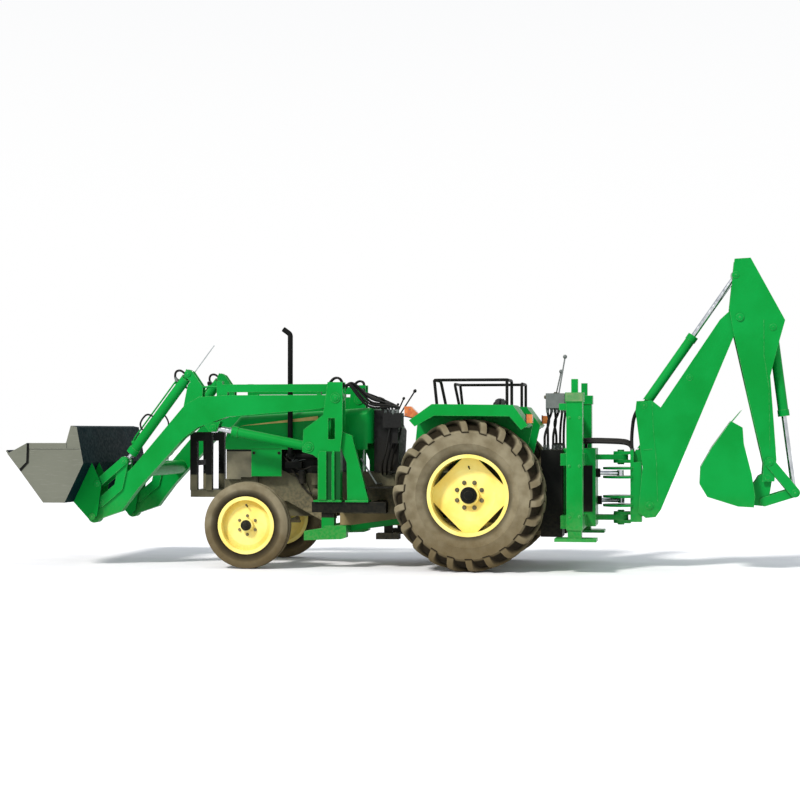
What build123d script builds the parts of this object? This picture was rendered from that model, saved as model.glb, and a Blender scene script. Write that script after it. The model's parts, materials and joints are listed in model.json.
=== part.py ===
"""Farm tractor with a front loader and a rear backhoe.

Millimetres. +X is forward, +Y is left, +Z is up. The model is drawn with x = 0 at the rear axle
and z = 0 on the ground, and moved at the end so that the origin is the middle of its base.
"""

import os
from math import cos, hypot, radians, sin, sqrt

from build123d import *

# Clearances
RUN = 0.3            # running clearance of a pin in its eye, and of faces that pass each other
SIDE_GAP = 6.0       # side room between linkage plates that pass each other
SEAT = 0.3           # gap at a seat between two bodies

# Wheels and axles
WHEELBASE = 2110.0
REAR_R = 705.0       # to the tips of the lugs
REAR_W = 420.0
REAR_LUG = 38.0      # lug height
REAR_SIDEWALL = 320.0
REAR_RIM_R = REAR_R - REAR_SIDEWALL
REAR_SEAT_R = REAR_RIM_R - 27.0
REAR_HALF_TRACK = 650.0
LUGS = 22            # bars on each half of a rear tread
LUG_W = 40.0
LUG_SLANT = 35.0     # degrees from straight across
FRONT_R = 410.0
FRONT_W = 190.0
FRONT_SIDEWALL = 138.0
FRONT_RIM_R = FRONT_R - FRONT_SIDEWALL
FRONT_SEAT_R = FRONT_RIM_R - 22.0
FRONT_FACETS = 28
RIB_DEPTH = 14.0     # grooves between the ribs of a front tread
FRONT_HALF_TRACK = 700.0
RIM_WALL = 12.0
DISC_WALL = 14.0
KINGPIN_Y = 585.0    # half the distance between the kingpins
KINGPIN_R = 24.0
STEER_ARM = 170.0    # kingpin to tie rod pin

# Engine, gearbox and hood
GEARBOX_HALF_W = 190.0
GEARBOX_LOW_Z = 390.0
GEARBOX_TOP_Z = 900.0
ENGINE_HALF_W = 210.0
ENGINE_LOW_Z = 470.0
ENGINE_TOP_Z = 1230.0
HEAD_H = 130.0       # cylinder head and cover above the block
ENGINE_REAR_X = 1330.0
ENGINE_FRONT_X = WHEELBASE + 20.0
RADIATOR_D = 160.0
HOOD_HALF_W = 320.0
HOOD_WALL = 10.0
HOOD_REAR_X = 990.0
HOOD_NOSE_X = ENGINE_FRONT_X + 310.0
HOOD_REAR_Z = 1525.0
HOOD_FRONT_Z = 1440.0
HOOD_LOW_Z = 1120.0
SKIRT_REAR_X = ENGINE_FRONT_X - 250.0    # lower side panels of the hood
SKIRT_FRONT_X = ENGINE_FRONT_X + 50.0
SKIRT_LOW_Z = 860.0
EXHAUST_X = ENGINE_FRONT_X - 350.0
EXHAUST_Y = HOOD_HALF_W + 55.0
EXHAUST_R = 25.0
EXHAUST_TOP_Z = 2230.0
MANIFOLD_Z = 1060.0
BOLSTER_LOW_Z = 560.0
BOLSTER_TOP_Z = 830.0
GUARD_REAR_X = HOOD_NOSE_X + 34.0
GUARD_L = 345.0
GUARD_FRONT_X = GUARD_REAR_X + GUARD_L
GUARD_LOW_Z = 651.0
GUARD_PLATE_TOP_Z = 720.0
GUARD_TOP_Z = 1288.0
GUARD_HALF_W = 250.0
TOW_X = GUARD_FRONT_X - 64.0    # tow pin hole in the guard's foot
TOW_R = 16.0
PLATFORM_Z = 760.0
PLATFORM_T = 12.0

# Front loader, drawn at its left side
LOADER_Y = 560.0          # middle plane of the left arm
ARM_W = 100.0
BUCKET_HALF_W = 900.0
BUCKET_WALL = 14.0
EAR_T = 16.0
ARM_PIVOT = (1282.0, 1612.0)
BUCKET_PIVOT = (3671.0, 473.0)
ROCKER_PIVOT = (3597.0, 610.0)
ROCKER_TOP = (3366.0, 1008.0)
BUCKET_EAR = (3620.0, 794.0)
TILT_BASE = (2733.0, 1846.0)
LIFT_BASE = (1537.0, 1147.0)
LIFT_EYE = (2480.0, 1330.0)
PIN_R = 24.0
POST_BASE_Z = 646.0
SUBFRAME_H = 100.0

# Backhoe
STAB_X = -974.0           # stabilizer posts
STAB_Y = 700.0
STAB_SIZE = 146.0
STAB_WALL = 10.0
FOOT_LOW_Z = 292.0        # raised foot plate above the ground
FOOT_T = 28.0
SWING_X = -1362.0         # upright axis of the swing post
SWING_EARS_Z = (480.0, 1051.0)
SWING_LUG = 130.0         # swing cylinder pins from the swing axis
BOOM_PIVOT = (-1635.0, 597.0)
BOOM_BASE = (-1530.0, 1075.0)      # foot of the boom cylinder, on the swing post
BOOM_EYE = (-2010.0, 1800.0)
BOOM_HALF_W = 145.0
BOOM_WALL = 22.0
DIPPER_PIVOT = (-2471.0, 2360.0)
DIPPER_BASE = (-1585.0, 1540.0)
DIPPER_EYE = (-2435.0, 2756.0)
DIPPER_WALL = 18.0
CURL_BASE = (-2774.0, 2263.0)      # bucket cylinder on the dipper
CURL_EYE = (-2966.0, 729.0)
GUIDE_PIVOT = (-2738.0, 1008.0)
HOE_PIVOT = (-2719.0, 868.0)
HOE_EAR = (-2690.0, 640.0)
HOE_HALF_W = 300.0
HOE_WALL = 14.0


def prism(points, y_low, y_high):
    """A side outline of (x, z) points, thick from y_low to y_high."""
    face = Plane.XZ.offset(-y_high) * make_face(Polyline(*points, close=True))
    return extrude(face, amount=y_high - y_low, dir=(0, -1, 0))


def box(x_low, x_high, y_low, y_high, z_low, z_high):
    """A block between its corners."""
    middle = ((x_low + x_high) / 2, (y_low + y_high) / 2, (z_low + z_high) / 2)
    return Pos(*middle) * Box(x_high - x_low, y_high - y_low, z_high - z_low)


def cross_pin(at, radius, y_low, y_high):
    """A round bar across the machine, at an (x, z) point."""
    return Pos(at[0], (y_low + y_high) / 2, at[1]) * Rot(90, 0, 0) * Cylinder(radius, y_high - y_low)


def upright(x, y, radius, z_low, z_high):
    """A round bar that stands upright."""
    return Pos(x, y, (z_low + z_high) / 2) * Cylinder(radius, z_high - z_low)


def bar(start, end, radius):
    """A round bar between two points in space."""
    along = Vector(*end) - Vector(*start)
    place = Plane(origin=start, z_dir=along)
    return place * Cylinder(radius, along.length, align=(Align.CENTER, Align.CENTER, Align.MIN))


def tube_path(points, bend, radius):
    """A bent round bar along points, with bends of one radius."""
    path = FilletPolyline(*points, radius=bend)
    start = Plane(origin=path @ 0, z_dir=path % 0)
    return sweep(start * Circle(radius), path=path)


def left_right(shape):
    """A left piece and its mirror image on the right."""
    return shape + mirror(shape, about=Plane.XZ)


def strip(start, end, half_width):
    """Corners of a straight bar between two (x, z) points."""
    dx, dz = end[0] - start[0], end[1] - start[1]
    length = hypot(dx, dz)
    nx, nz = -dz / length * half_width, dx / length * half_width
    return [
        (start[0] + nx, start[1] + nz),
        (end[0] + nx, end[1] + nz),
        (end[0] - nx, end[1] - nz),
        (start[0] - nx, start[1] - nz),
    ]


def along(start, end, distance):
    """The (x, z) point at a distance from start towards end."""
    share = distance / hypot(end[0] - start[0], end[1] - start[1])
    return (start[0] + (end[0] - start[0]) * share, start[1] + (end[1] - start[1]) * share)


def link(start, end, half_width, y_low, y_high, bores):
    """A flat link with round ends; bores are the hole radii at start and end, 0 for none."""
    body = prism(strip(start, end, half_width), y_low, y_high)
    for at in (start, end):
        body += cross_pin(at, half_width, y_low, y_high)
    for at, radius in zip((start, end), bores):
        if radius:
            body -= cross_pin(at, radius, y_low - 1, y_high + 1)
    return body


def cylinder_pair(base, eye, y, barrel_r, rod_r, gland, rod_length, eye_w, base_pin_r):
    """Barrel and rod of a hydraulic cylinder between two (x, z) pins, at y across the machine.

    gland is the barrel's length from its base pin, and rod_length the rod's from its eye inwards.
    """
    def point(distance):
        x, z = along(base, eye, distance)
        return (x, y, z)

    length = hypot(eye[0] - base[0], eye[1] - base[1])
    half = eye_w / 2
    barrel = bar(point(0), point(gland), barrel_r)
    barrel += bar(point(gland - GLAND_L), point(gland), barrel_r + GLAND_STEP)
    barrel -= cross_pin(base, barrel_r + BASE_ROOM, y - 2 * barrel_r, y + 2 * barrel_r)
    barrel += cross_pin(base, base_pin_r + EYE_WALL, y - half, y + half)
    neck = base_pin_r + EYE_WALL / 2
    barrel += bar(point(neck), point(barrel_r + 2 * BASE_ROOM), min(half, barrel_r))
    barrel -= cross_pin(base, base_pin_r + RUN, y - barrel_r * 2, y + barrel_r * 2)
    barrel -= bar(point(BORE_START), point(gland + 1), rod_r + RUN)
    rod = bar(point(length - rod_length), point(length), rod_r)
    rod += cross_pin(eye, rod_r + ROD_EYE_WALL, y - half, y + half)
    return barrel, rod


GLAND_L = 60.0
GLAND_STEP = 6.0
BASE_ROOM = 14.0
EYE_WALL = 18.0
ROD_EYE_WALL = 22.0
BORE_START = 90.0     # bottom of a barrel's bore, from its base pin

parts = {}


# Wheels, drawn about the y axis at their own centre
def ring(profile):
    """A solid of revolution about the y axis from (radius, y) points."""
    face = make_face(Polyline(*[(r, y, 0) for r, y in profile], close=True))
    return revolve(face, axis=Axis.Y)


def faceted(sections, facets):
    """A solid of flat facets about the y axis through (radius, y) sections; a radius is to its facets."""
    turn = 180 / facets
    rings = [
        Plane.XZ.offset(-y) * RegularPolygon(r, facets, major_radius=False, rotation=turn)
        for r, y in sections
    ]
    return loft(rings, ruled=True)


def casing(half_section, seat_r, facets):
    """A tyre casing from the (radius, y) points of one half, bead first, seated on its rim."""
    sections = [(r, -y) for r, y in half_section] + half_section[::-1]
    bead = half_section[0][1]
    return faceted(sections, facets) - cross_pin((0, 0), seat_r, -2 * bead, 2 * bead)


def lug_bar(side_r, half):
    """A bar of the left half of the tread, at the top of the wheel, slanted back towards its shoulder."""
    slant = radians(LUG_SLANT)
    floor_r = REAR_R - REAR_LUG
    flat, reach = 0.80 * half / cos(slant), 0.995 * half / cos(slant)
    swing = flat / 2 * sin(slant) + LUG_W / 2 * cos(slant)
    top = sqrt(REAR_R ** 2 - swing ** 2)
    profile = [(0, floor_r - REAR_LUG / 2), (0, top), (flat, top), (reach, top - 1.2 * REAR_LUG),
               (reach, side_r + REAR_LUG), (flat, side_r + REAR_LUG)]
    face = Plane.YZ.offset(-LUG_W / 2) * make_face(Polyline(*profile, close=True))
    straight = extrude(face, amount=LUG_W, dir=(1, 0, 0))
    return Pos(flat / 2 * sin(slant), 0, 0) * Rot(0, 0, LUG_SLANT) * straight


def rear_tyre():
    """A driving tyre whose two rows of bars meet in a V on the middle of the tread."""
    half = REAR_W / 2
    floor_r = REAR_R - REAR_LUG
    side_r = (REAR_R + REAR_RIM_R) / 2
    body = casing([(REAR_RIM_R, half * RIM_SHARE), (side_r, half), (floor_r - REAR_LUG * 0.8, half * 0.97),
                   (floor_r, half * 0.80)], REAR_SEAT_R, LUGS)
    left = lug_bar(side_r, half)
    right = Rot(0, 180 / LUGS, 0) * mirror(left, about=Plane.XZ)
    return body + [Rot(0, i * 360 / LUGS, 0) * bar_ for i in range(LUGS) for bar_ in (left, right)]


def front_tyre():
    """A steering tyre with three ribs round its tread."""
    half = FRONT_W / 2
    groove = FRONT_R - RIB_DEPTH
    side_r = (FRONT_R + FRONT_RIM_R) / 2
    return casing([(FRONT_RIM_R, half * RIM_SHARE), (side_r, half), (FRONT_R - 2 * RIB_DEPTH, half * 0.97),
                   (FRONT_R, half * 0.80), (FRONT_R, half * 0.52), (groove, half * 0.46),
                   (groove, half * 0.28), (FRONT_R, half * 0.22)], FRONT_SEAT_R, FRONT_FACETS)


RIM_SHARE = 0.72          # rim's width as a share of its tyre's


def rim_band(width, rim_r, seat_r):
    """The rim's drop-centre band with its two flanges."""
    half = width / 2 * RIM_SHARE
    return ring([
        (seat_r, -half), (rim_r, -half - SEAT), (rim_r, -half - RIM_WALL),
        (seat_r - RIM_WALL, -half - RIM_WALL), (seat_r - RIM_WALL, half + RIM_WALL),
        (rim_r, half + RIM_WALL), (rim_r, half + SEAT), (seat_r, half),
    ])


def wheel_disc(disc_y, disc_r, seat_r):
    """A dished wheel disc; disc_y is its middle across the rim, and disc_r where its flat middle ends."""
    return ring([
        (1, disc_y - DISC_WALL / 2), (disc_r, disc_y - DISC_WALL / 2),
        (seat_r - RIM_WALL / 2, disc_y - DISC_WALL * 2), (seat_r - RIM_WALL / 2, disc_y - DISC_WALL),
        (disc_r, disc_y + DISC_WALL / 2), (1, disc_y + DISC_WALL / 2),
    ])


AXLE_FLANGE_Y = REAR_HALF_TRACK - REAR_W / 2 - 40     # outer end of the rear axle housing
AXLE_TUBE_R = 120.0
REAR_HUB_R = 95.0
FRONT_HUB_R = 62.0
SPINDLE_R = 30.0
REAR_CENTRE = (0.0, REAR_R)
FRONT_CENTRE = (WHEELBASE, FRONT_R)
KNUCKLE_FACE_Y = FRONT_HALF_TRACK - 55.0    # inner end of the front hub


REAR_DISC_Y = 30.0        # wheel disc across the rim, from its middle
REAR_DISC_R = 240.0       # flat middle of the disc
REAR_DISC_FLAT = 290.0    # the disc's four straight sides, which leave windows in the rim
FRONT_DISC_Y = 10.0
FRONT_DISC_R = 190.0


def rear_wheel():
    at = Pos(0, REAR_HALF_TRACK, REAR_R)
    parts["rear_tyre_left"] = at * rear_tyre()
    hub_low, hub_high = AXLE_FLANGE_Y + SEAT - REAR_HALF_TRACK, REAR_DISC_Y + 60.0
    square = Rot(0, 45, 0) * Box(2 * REAR_DISC_FLAT, REAR_W, 2 * REAR_DISC_FLAT)
    wheel = rim_band(REAR_W, REAR_RIM_R, REAR_SEAT_R)
    wheel += wheel_disc(REAR_DISC_Y, REAR_DISC_R, REAR_SEAT_R) & square
    parts["rear_rim_left"] = at * (wheel + cross_pin((0, 0), REAR_HUB_R, hub_low, hub_high))


def front_wheel():
    at = Pos(WHEELBASE, FRONT_HALF_TRACK, FRONT_R)
    parts["front_tyre_left"] = at * front_tyre()
    hub_low, hub_high = KNUCKLE_FACE_Y + SEAT - FRONT_HALF_TRACK, FRONT_DISC_Y + 60.0
    wheel = rim_band(FRONT_W, FRONT_RIM_R, FRONT_SEAT_R)
    wheel += wheel_disc(FRONT_DISC_Y, FRONT_DISC_R, FRONT_SEAT_R)
    parts["front_rim_left"] = at * (wheel + cross_pin((0, 0), FRONT_HUB_R, hub_low, hub_high))


# Front axle, knuckles and tie rod
AXLE_H = 90.0
AXLE_HALF_D = 55.0
AXLE_RISE = 90.0         # axle beam's middle above the wheel spindles
BEAM_TOP_Z = FRONT_R + AXLE_RISE + AXLE_H / 2
SUPPORT_Z = BEAM_TOP_Z + 75.0    # underside of the engine block, over the front axle
KNUCKLE_DROP = 60.0      # foot of the kingpin below the spindles
ARM_DROP = 32.0          # steering arms below the spindles
TIE_X = WHEELBASE - STEER_ARM
TIE_R = 14.0


def front_axle():
    low, high = FRONT_R + AXLE_RISE - AXLE_H / 2, FRONT_R + AXLE_RISE + AXLE_H / 2
    x_low, x_high = WHEELBASE - AXLE_HALF_D, WHEELBASE + AXLE_HALF_D
    end_y = KINGPIN_Y - KINGPIN_R - 30
    beam = box(x_low, x_high, -end_y, end_y, low, high)
    for side in (1, -1):
        beam += upright(WHEELBASE, side * KINGPIN_Y, KINGPIN_R + 28, low, high)
        y_low, y_high = sorted((side * end_y, side * KINGPIN_Y))
        beam += box(x_low, x_high, y_low, y_high, low, high)
        beam -= upright(WHEELBASE, side * KINGPIN_Y, KINGPIN_R + RUN, low - 1, high + 1)
    parts["front_axle_beam"] = beam
    foot = FRONT_R - KNUCKLE_DROP
    knuckle = upright(WHEELBASE, KINGPIN_Y, KINGPIN_R, foot, high + 40)
    knuckle += upright(WHEELBASE, KINGPIN_Y, KINGPIN_R + 24, high + SEAT, high + 40)
    knuckle += upright(WHEELBASE, KINGPIN_Y, KINGPIN_R + 24, foot, low - SEAT)
    knuckle += cross_pin(FRONT_CENTRE, SPINDLE_R + 10, KINGPIN_Y, KNUCKLE_FACE_Y)
    arm_z = FRONT_R - ARM_DROP
    knuckle += prism_flat(
        [(WHEELBASE + 30, KINGPIN_Y - 30), (WHEELBASE + 30, KINGPIN_Y + 30),
         (TIE_X - 30, KINGPIN_Y + 25), (TIE_X - 30, KINGPIN_Y - 25)], arm_z - 12, arm_z + 12)
    knuckle += upright(TIE_X, KINGPIN_Y, 12.0, arm_z, arm_z + 52)
    parts["knuckle_left"] = knuckle
    parts["knuckle_right"] = mirror(knuckle, about=Plane.XZ)
    tie_z = arm_z + 12 + SIDE_GAP + TIE_R
    tie = bar((TIE_X, -KINGPIN_Y, tie_z), (TIE_X, KINGPIN_Y, tie_z), TIE_R)
    for side in (1, -1):
        tie += upright(TIE_X, side * KINGPIN_Y, 26.0, tie_z - TIE_R - 2, tie_z + TIE_R + 2)
        tie -= upright(TIE_X, side * KINGPIN_Y, 12.0 + RUN, tie_z - 2 * TIE_R, tie_z + 2 * TIE_R)
    parts["tie_rod"] = tie


def prism_flat(points, z_low, z_high):
    """A plan outline of (x, y) points, thick from z_low to z_high."""
    face = Pos(0, 0, z_low) * make_face(Polyline(*points, close=True))
    return extrude(face, amount=z_high - z_low, dir=(0, 0, 1))


# Engine, gearbox, rear axle and front support
SUMP_HALF_W = 150.0
HEAD_HALF_W = 120.0
RADIATOR_HALF_W = 270.0
RADIATOR_Z = (660.0, 1300.0)
SIDE_PLATE_T = 22.0       # dusty frame plates on both sides of the engine
SIDE_PLATE_Z = 936.0
MANIFOLD_R = 35.0
MANIFOLD_Y = ENGINE_HALF_W + MANIFOLD_R + 8.0
OUTLET_Y = MANIFOLD_Y + MANIFOLD_R + 6.0    # face of the manifold's outlet


def engine_fittings():
    """Manifold, starter, oil filter, pump and alternator on the left of the engine."""
    wall, deck_z = ENGINE_HALF_W, ENGINE_TOP_Z - HEAD_H
    y, z = MANIFOLD_Y, MANIFOLD_Z
    fittings = bar((ENGINE_REAR_X + 90, y, z), (EXHAUST_X + 60, y, z), MANIFOLD_R)
    for share, reach in ((0.3, y), (0.65, y), (1.0, OUTLET_Y)):
        x = ENGINE_REAR_X + share * (EXHAUST_X - ENGINE_REAR_X)
        fittings += cross_pin((x, z), MANIFOLD_R - 8, wall - 20, reach)
    fittings += bar((ENGINE_REAR_X + 70, wall + 25, 700), (ENGINE_REAR_X + 250, wall + 25, 700), 50)
    filter_x = ENGINE_REAR_X + 220
    fittings += upright(filter_x, wall + 50, 45, 780, 920)
    fittings += box(filter_x - 40, filter_x + 40, wall, wall + 85, 920, 960)
    fittings += box(ENGINE_REAR_X + 360, ENGINE_REAR_X + 520, wall, wall + 80, SIDE_PLATE_Z + 4, deck_z - 100)
    y, z = wall + 40, SIDE_PLATE_Z + 74
    return fittings + bar((ENGINE_FRONT_X - 170, y, z), (ENGINE_FRONT_X - 30, y, z), 50)


def drive_line():
    deck_z = ENGINE_TOP_Z - HEAD_H
    radiator_x = ENGINE_FRONT_X + RADIATOR_D
    engine = box(ENGINE_REAR_X, ENGINE_FRONT_X, -ENGINE_HALF_W, ENGINE_HALF_W, SUPPORT_Z, deck_z)
    engine += box(ENGINE_REAR_X + 40, TIE_X - 60, -SUMP_HALF_W, SUMP_HALF_W, ENGINE_LOW_Z, SUPPORT_Z)
    engine += box(ENGINE_REAR_X + 60, ENGINE_FRONT_X - 80, -HEAD_HALF_W, HEAD_HALF_W, deck_z, ENGINE_TOP_Z)
    engine += box(ENGINE_FRONT_X, radiator_x, -RADIATOR_HALF_W, RADIATOR_HALF_W, *RADIATOR_Z)
    parts["engine_block"] = engine + engine_fittings()
    housing = box(-250, 250, -250, 250, 430, 1000)
    housing += box(250, ENGINE_REAR_X, -GEARBOX_HALF_W, GEARBOX_HALF_W, GEARBOX_LOW_Z, GEARBOX_TOP_Z)
    housing += cross_pin(REAR_CENTRE, AXLE_TUBE_R, -AXLE_FLANGE_Y, AXLE_FLANGE_Y)
    housing += left_right(cross_pin(REAR_CENTRE, 165.0, 250, 300))
    parts["gearbox_housing"] = housing
    half = ENGINE_HALF_W + SIDE_PLATE_T
    bolster = box(radiator_x, GUARD_REAR_X, -half, half, BOLSTER_LOW_Z, BOLSTER_TOP_Z)
    bolster += box(ENGINE_FRONT_X - 60, radiator_x, -170, 170, BEAM_TOP_Z + 15, SUPPORT_Z)
    bolster += box(WHEELBASE - 80, WHEELBASE + 80, -60, 60, BEAM_TOP_Z, BEAM_TOP_Z + 15)
    outline = [
        (radiator_x + 90, BOLSTER_TOP_Z), (radiator_x, BOLSTER_TOP_Z), (ENGINE_FRONT_X + 114, SIDE_PLATE_Z),
        (ENGINE_FRONT_X - 195, SIDE_PLATE_Z), (ENGINE_REAR_X + 325, 802), (ENGINE_REAR_X + 241, 598),
        (ENGINE_REAR_X + 116, 440), (ENGINE_REAR_X + 140, 418), (ENGINE_REAR_X + 520, SUPPORT_Z),
        (radiator_x + 90, SUPPORT_Z),
    ]
    bolster += left_right(prism(outline, ENGINE_HALF_W, half))
    parts["front_support"] = bolster - parts["engine_block"]


HOOD_BEND = 85.0          # rounding of the hood's upper edges
NOSE_Z = HOOD_FRONT_Z - 150.0
GRILLE_HALF_W = 250.0
GRILLE_TOP_Z = 1240.0
GRILLE_T = 15.0
GRILLE_SIDE_Y = 290.0
SLATS = 7


def hood_profile(inset):
    """Side outline of the hood, moved inwards by inset."""
    return [
        (HOOD_REAR_X + inset, HOOD_LOW_Z), (HOOD_REAR_X + inset, HOOD_REAR_Z - inset),
        (HOOD_NOSE_X - 130, HOOD_FRONT_Z - inset), (HOOD_NOSE_X - inset, NOSE_Z),
        (HOOD_NOSE_X - inset, HOOD_LOW_Z), (SKIRT_FRONT_X, HOOD_LOW_Z), (SKIRT_FRONT_X, SKIRT_LOW_Z),
        (SKIRT_REAR_X, SKIRT_LOW_Z), (SKIRT_REAR_X, HOOD_LOW_Z),
    ]


def upper_edges(solid, half):
    """The edges along the top of a hood outline that is half wide each side."""
    return solid.edges().filter_by(lambda e: e.center().Z > NOSE_Z - 30 and abs(e.center().Y) > half - 1)


def hood():
    outer = prism(hood_profile(0), -HOOD_HALF_W, HOOD_HALF_W)
    outer = fillet(upper_edges(outer, HOOD_HALF_W), HOOD_BEND)
    half = HOOD_HALF_W - HOOD_WALL
    hollow = prism(hood_profile(HOOD_WALL), -half, half)
    hollow = fillet(upper_edges(hollow, half), HOOD_BEND - HOOD_WALL)
    cut = box(HOOD_REAR_X - 1, HOOD_NOSE_X - HOOD_WALL, -half, half, SKIRT_LOW_Z - 1, HOOD_LOW_Z + 60)
    cut += box(HOOD_NOSE_X - 50, HOOD_NOSE_X + 1, -GRILLE_HALF_W, GRILLE_HALF_W, HOOD_LOW_Z - 1, GRILLE_TOP_Z)
    parts["hood"] = outer - hollow - cut


def grille():
    """The slatted front of the radiator and its side plates, on the front support."""
    x_high = HOOD_NOSE_X - 5
    x_low = x_high - GRILLE_T
    low, top = BOLSTER_TOP_Z + 20, GRILLE_TOP_Z
    shell = box(x_low, x_high, -GRILLE_HALF_W, GRILLE_HALF_W, low, top)
    pitch = 2 * (GRILLE_HALF_W - 20) / (SLATS + 1)
    for i in range(SLATS + 1):
        y = -GRILLE_HALF_W + 20 + i * pitch
        shell -= box(x_low - 1, x_high + 1, y + 8, y + pitch - 8, low + 40, top - 30)
    side_y = GRILLE_SIDE_Y + 12
    side = box(SKIRT_FRONT_X + SEAT, x_high, GRILLE_SIDE_Y, side_y, low, HOOD_LOW_Z - SEAT)
    side += box(x_low, x_high, GRILLE_HALF_W, side_y, low, HOOD_LOW_Z - SEAT)
    shell += left_right(side)
    parts["grille"] = shell + box(ENGINE_FRONT_X + RADIATOR_D, x_high, -side_y, side_y, BOLSTER_TOP_Z, low)


def front_guard():
    """The steel guard ahead of the radiator, on the front support."""
    x_front, x_back = GUARD_FRONT_X, GUARD_FRONT_X - 220
    foot_top, top = GUARD_PLATE_TOP_Z, GUARD_TOP_Z
    inner = GUARD_HALF_W - 60
    guard = box(GUARD_REAR_X, x_front, -GUARD_HALF_W + 20, GUARD_HALF_W - 20, GUARD_LOW_Z, foot_top)
    guard -= upright(TOW_X, 0, TOW_R, GUARD_LOW_Z - 1, foot_top + 1)
    side = box(x_front - 70, x_front, inner, GUARD_HALF_W, foot_top, top)
    side += box(x_back, x_back + 60, inner, GUARD_HALF_W, foot_top, top)
    side += box(x_back, x_front, inner, GUARD_HALF_W, top - 88, top)
    guard += left_right(side)
    guard += box(x_front - 60, x_front, -inner, inner, top - 68, top)
    guard += box(x_front - 60, x_front, -inner, inner, 960, 1010)
    parts["front_guard"] = guard


def exhaust():
    """The slender exhaust pipe, from the manifold out past the hood and up."""
    x, y, top = EXHAUST_X, EXHAUST_Y, EXHAUST_TOP_Z
    flange_y = OUTLET_Y + SEAT
    route = [(x, flange_y, MANIFOLD_Z), (x, y, MANIFOLD_Z), (x, y, top), (x + 69, y, top + 50)]
    pipe = tube_path(route, 42.0, EXHAUST_R)
    pipe += cross_pin((x, MANIFOLD_Z), EXHAUST_R + 12, flange_y, flange_y + 12)
    pipe += upright(x, y, EXHAUST_R + 6, HOOD_LOW_Z + 60, HOOD_LOW_Z + 90)
    parts["exhaust_stack"] = pipe


# Driver's place
def driver_place():
    floor = PLATFORM_Z
    inner_y, wide_y = REAR_HALF_TRACK - REAR_W / 2 - 25, 620
    front_x, rear_x, wheel_x = 1000, 300, REAR_R + 35
    plate = prism_flat([(front_x, GEARBOX_HALF_W), (front_x, wide_y), (wheel_x, wide_y), (wheel_x, inner_y),
                        (rear_x, inner_y), (rear_x, GEARBOX_HALF_W)], floor, floor + PLATFORM_T)
    parts["platform"] = left_right(plate)
    console = prism([(HOOD_REAR_X, GEARBOX_TOP_Z), (760, GEARBOX_TOP_Z), (740, 1300),
                     (840, 1500), (HOOD_REAR_X, 1500)], -200, 200)
    column = bar((900, 0, 1450), (955, 0, 1580), 30)
    parts["dash_console"] = console + column
    tilt = Plane(origin=(962, 0, 1597), z_dir=(-0.39, 0, 0.92))
    wheel = tilt * Torus(190, 14)
    for turn in (0, 120, 240):
        spoke = Rot(0, 0, turn) * Pos(95, 0, 0) * Box(190, 30, 10)
        wheel += tilt * spoke
    wheel += tilt * Cylinder(38, 34)
    parts["steering_wheel"] = wheel - column
    parts["seat_base"] = box(-160, 200, -170, 170, 1000, 1085)
    cushion = box(-160, 300, -240, 240, 1085, 1190)
    cushion = fillet(cushion.edges().filter_by(Axis.Z), 60.0)
    back = prism([(-160, 1200), (-90, 1190.5), (-170, 1620), (-240, 1630)], -230, 230)
    back = fillet(back.edges().filter_by(lambda e: e.center().Z > 1500 and e.length < 100), 45.0)
    parts["seat_pads"] = cushion + back


FENDER_IN_Y = REAR_HALF_TRACK - REAR_W / 2 - 36
FENDER_OUT_Y = REAR_HALF_TRACK + REAR_W / 2 + 36
FENDER_WALL = 12.0


def fender():
    top = [(532, 1397), (320, 1546), (-424, 1536), (-560, 1351)]
    lip = [(-500, 1310), (-395, 1432), (300, 1440), (480, 1340)]
    under = [(-540, 1330), (-415, 1536 - FENDER_WALL), (316, 1546 - FENDER_WALL), (515, 1380)]
    deck = prism(top + under, FENDER_IN_Y, FENDER_OUT_Y)
    skirt = prism(top + lip, FENDER_OUT_Y - FENDER_WALL, FENDER_OUT_Y)
    wall = prism(top + [(-480, 1005), (480, 1005), (560, 1120)], FENDER_IN_Y - FENDER_WALL, FENDER_IN_Y)
    foot = box(330, 420, 255, FENDER_IN_Y, 1005, 1017) + box(-250, 250, 240, FENDER_IN_Y, 1000, 1012)
    shell = deck + skirt + wall + foot
    parts["fenders"] = left_right(shell)
    y_in, y_out = FENDER_IN_Y + 60, FENDER_OUT_Y - 30
    rail = tube_path([(250, y_in, 1530), (300, y_in, 1766), (300, y_out, 1766), (-370, y_out, 1766),
                      (-370, y_in, 1766), (-370, y_in, 1530)], 40.0, 14.0)
    rail += bar((275, y_out, 1530), (300, y_out, 1766), 14.0)
    rail += bar((-370, y_out, 1530), (-370, y_out, 1766), 14.0)
    parts["fender_rails"] = left_right(rail - shell)
    lamp = prism([(500, 1420), (580, 1440), (580, 1525), (520, 1525), (450, 1456)], 780, 860)
    lamp += box(-600, -545, 780, 860, 1370, 1450)
    parts["lamps"] = left_right(lamp - shell)


# Front loader
LINK_T = 13.0
LAYER_GAP = 5.0


def layer(number):
    """Distances of a linkage layer from the arm's middle plane: 0 rocker, 1 push link, 2 bucket ear."""
    low = ARM_W / 2 + LAYER_GAP + number * (LINK_T + LAYER_GAP)
    return low, low + LINK_T


def both_faces(make, number):
    """A plate made by make(y_low, y_high) in one layer, on both faces of the left arm."""
    low, high = layer(number)
    return make(LOADER_Y + low, LOADER_Y + high) + make(LOADER_Y - high, LOADER_Y - low)


POST_PLATE = 17.0
POST_IN = ARM_W / 2 + 3.0            # inner faces of the post plates, from the arm's middle plane
POST_OUT = POST_IN + POST_PLATE


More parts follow.
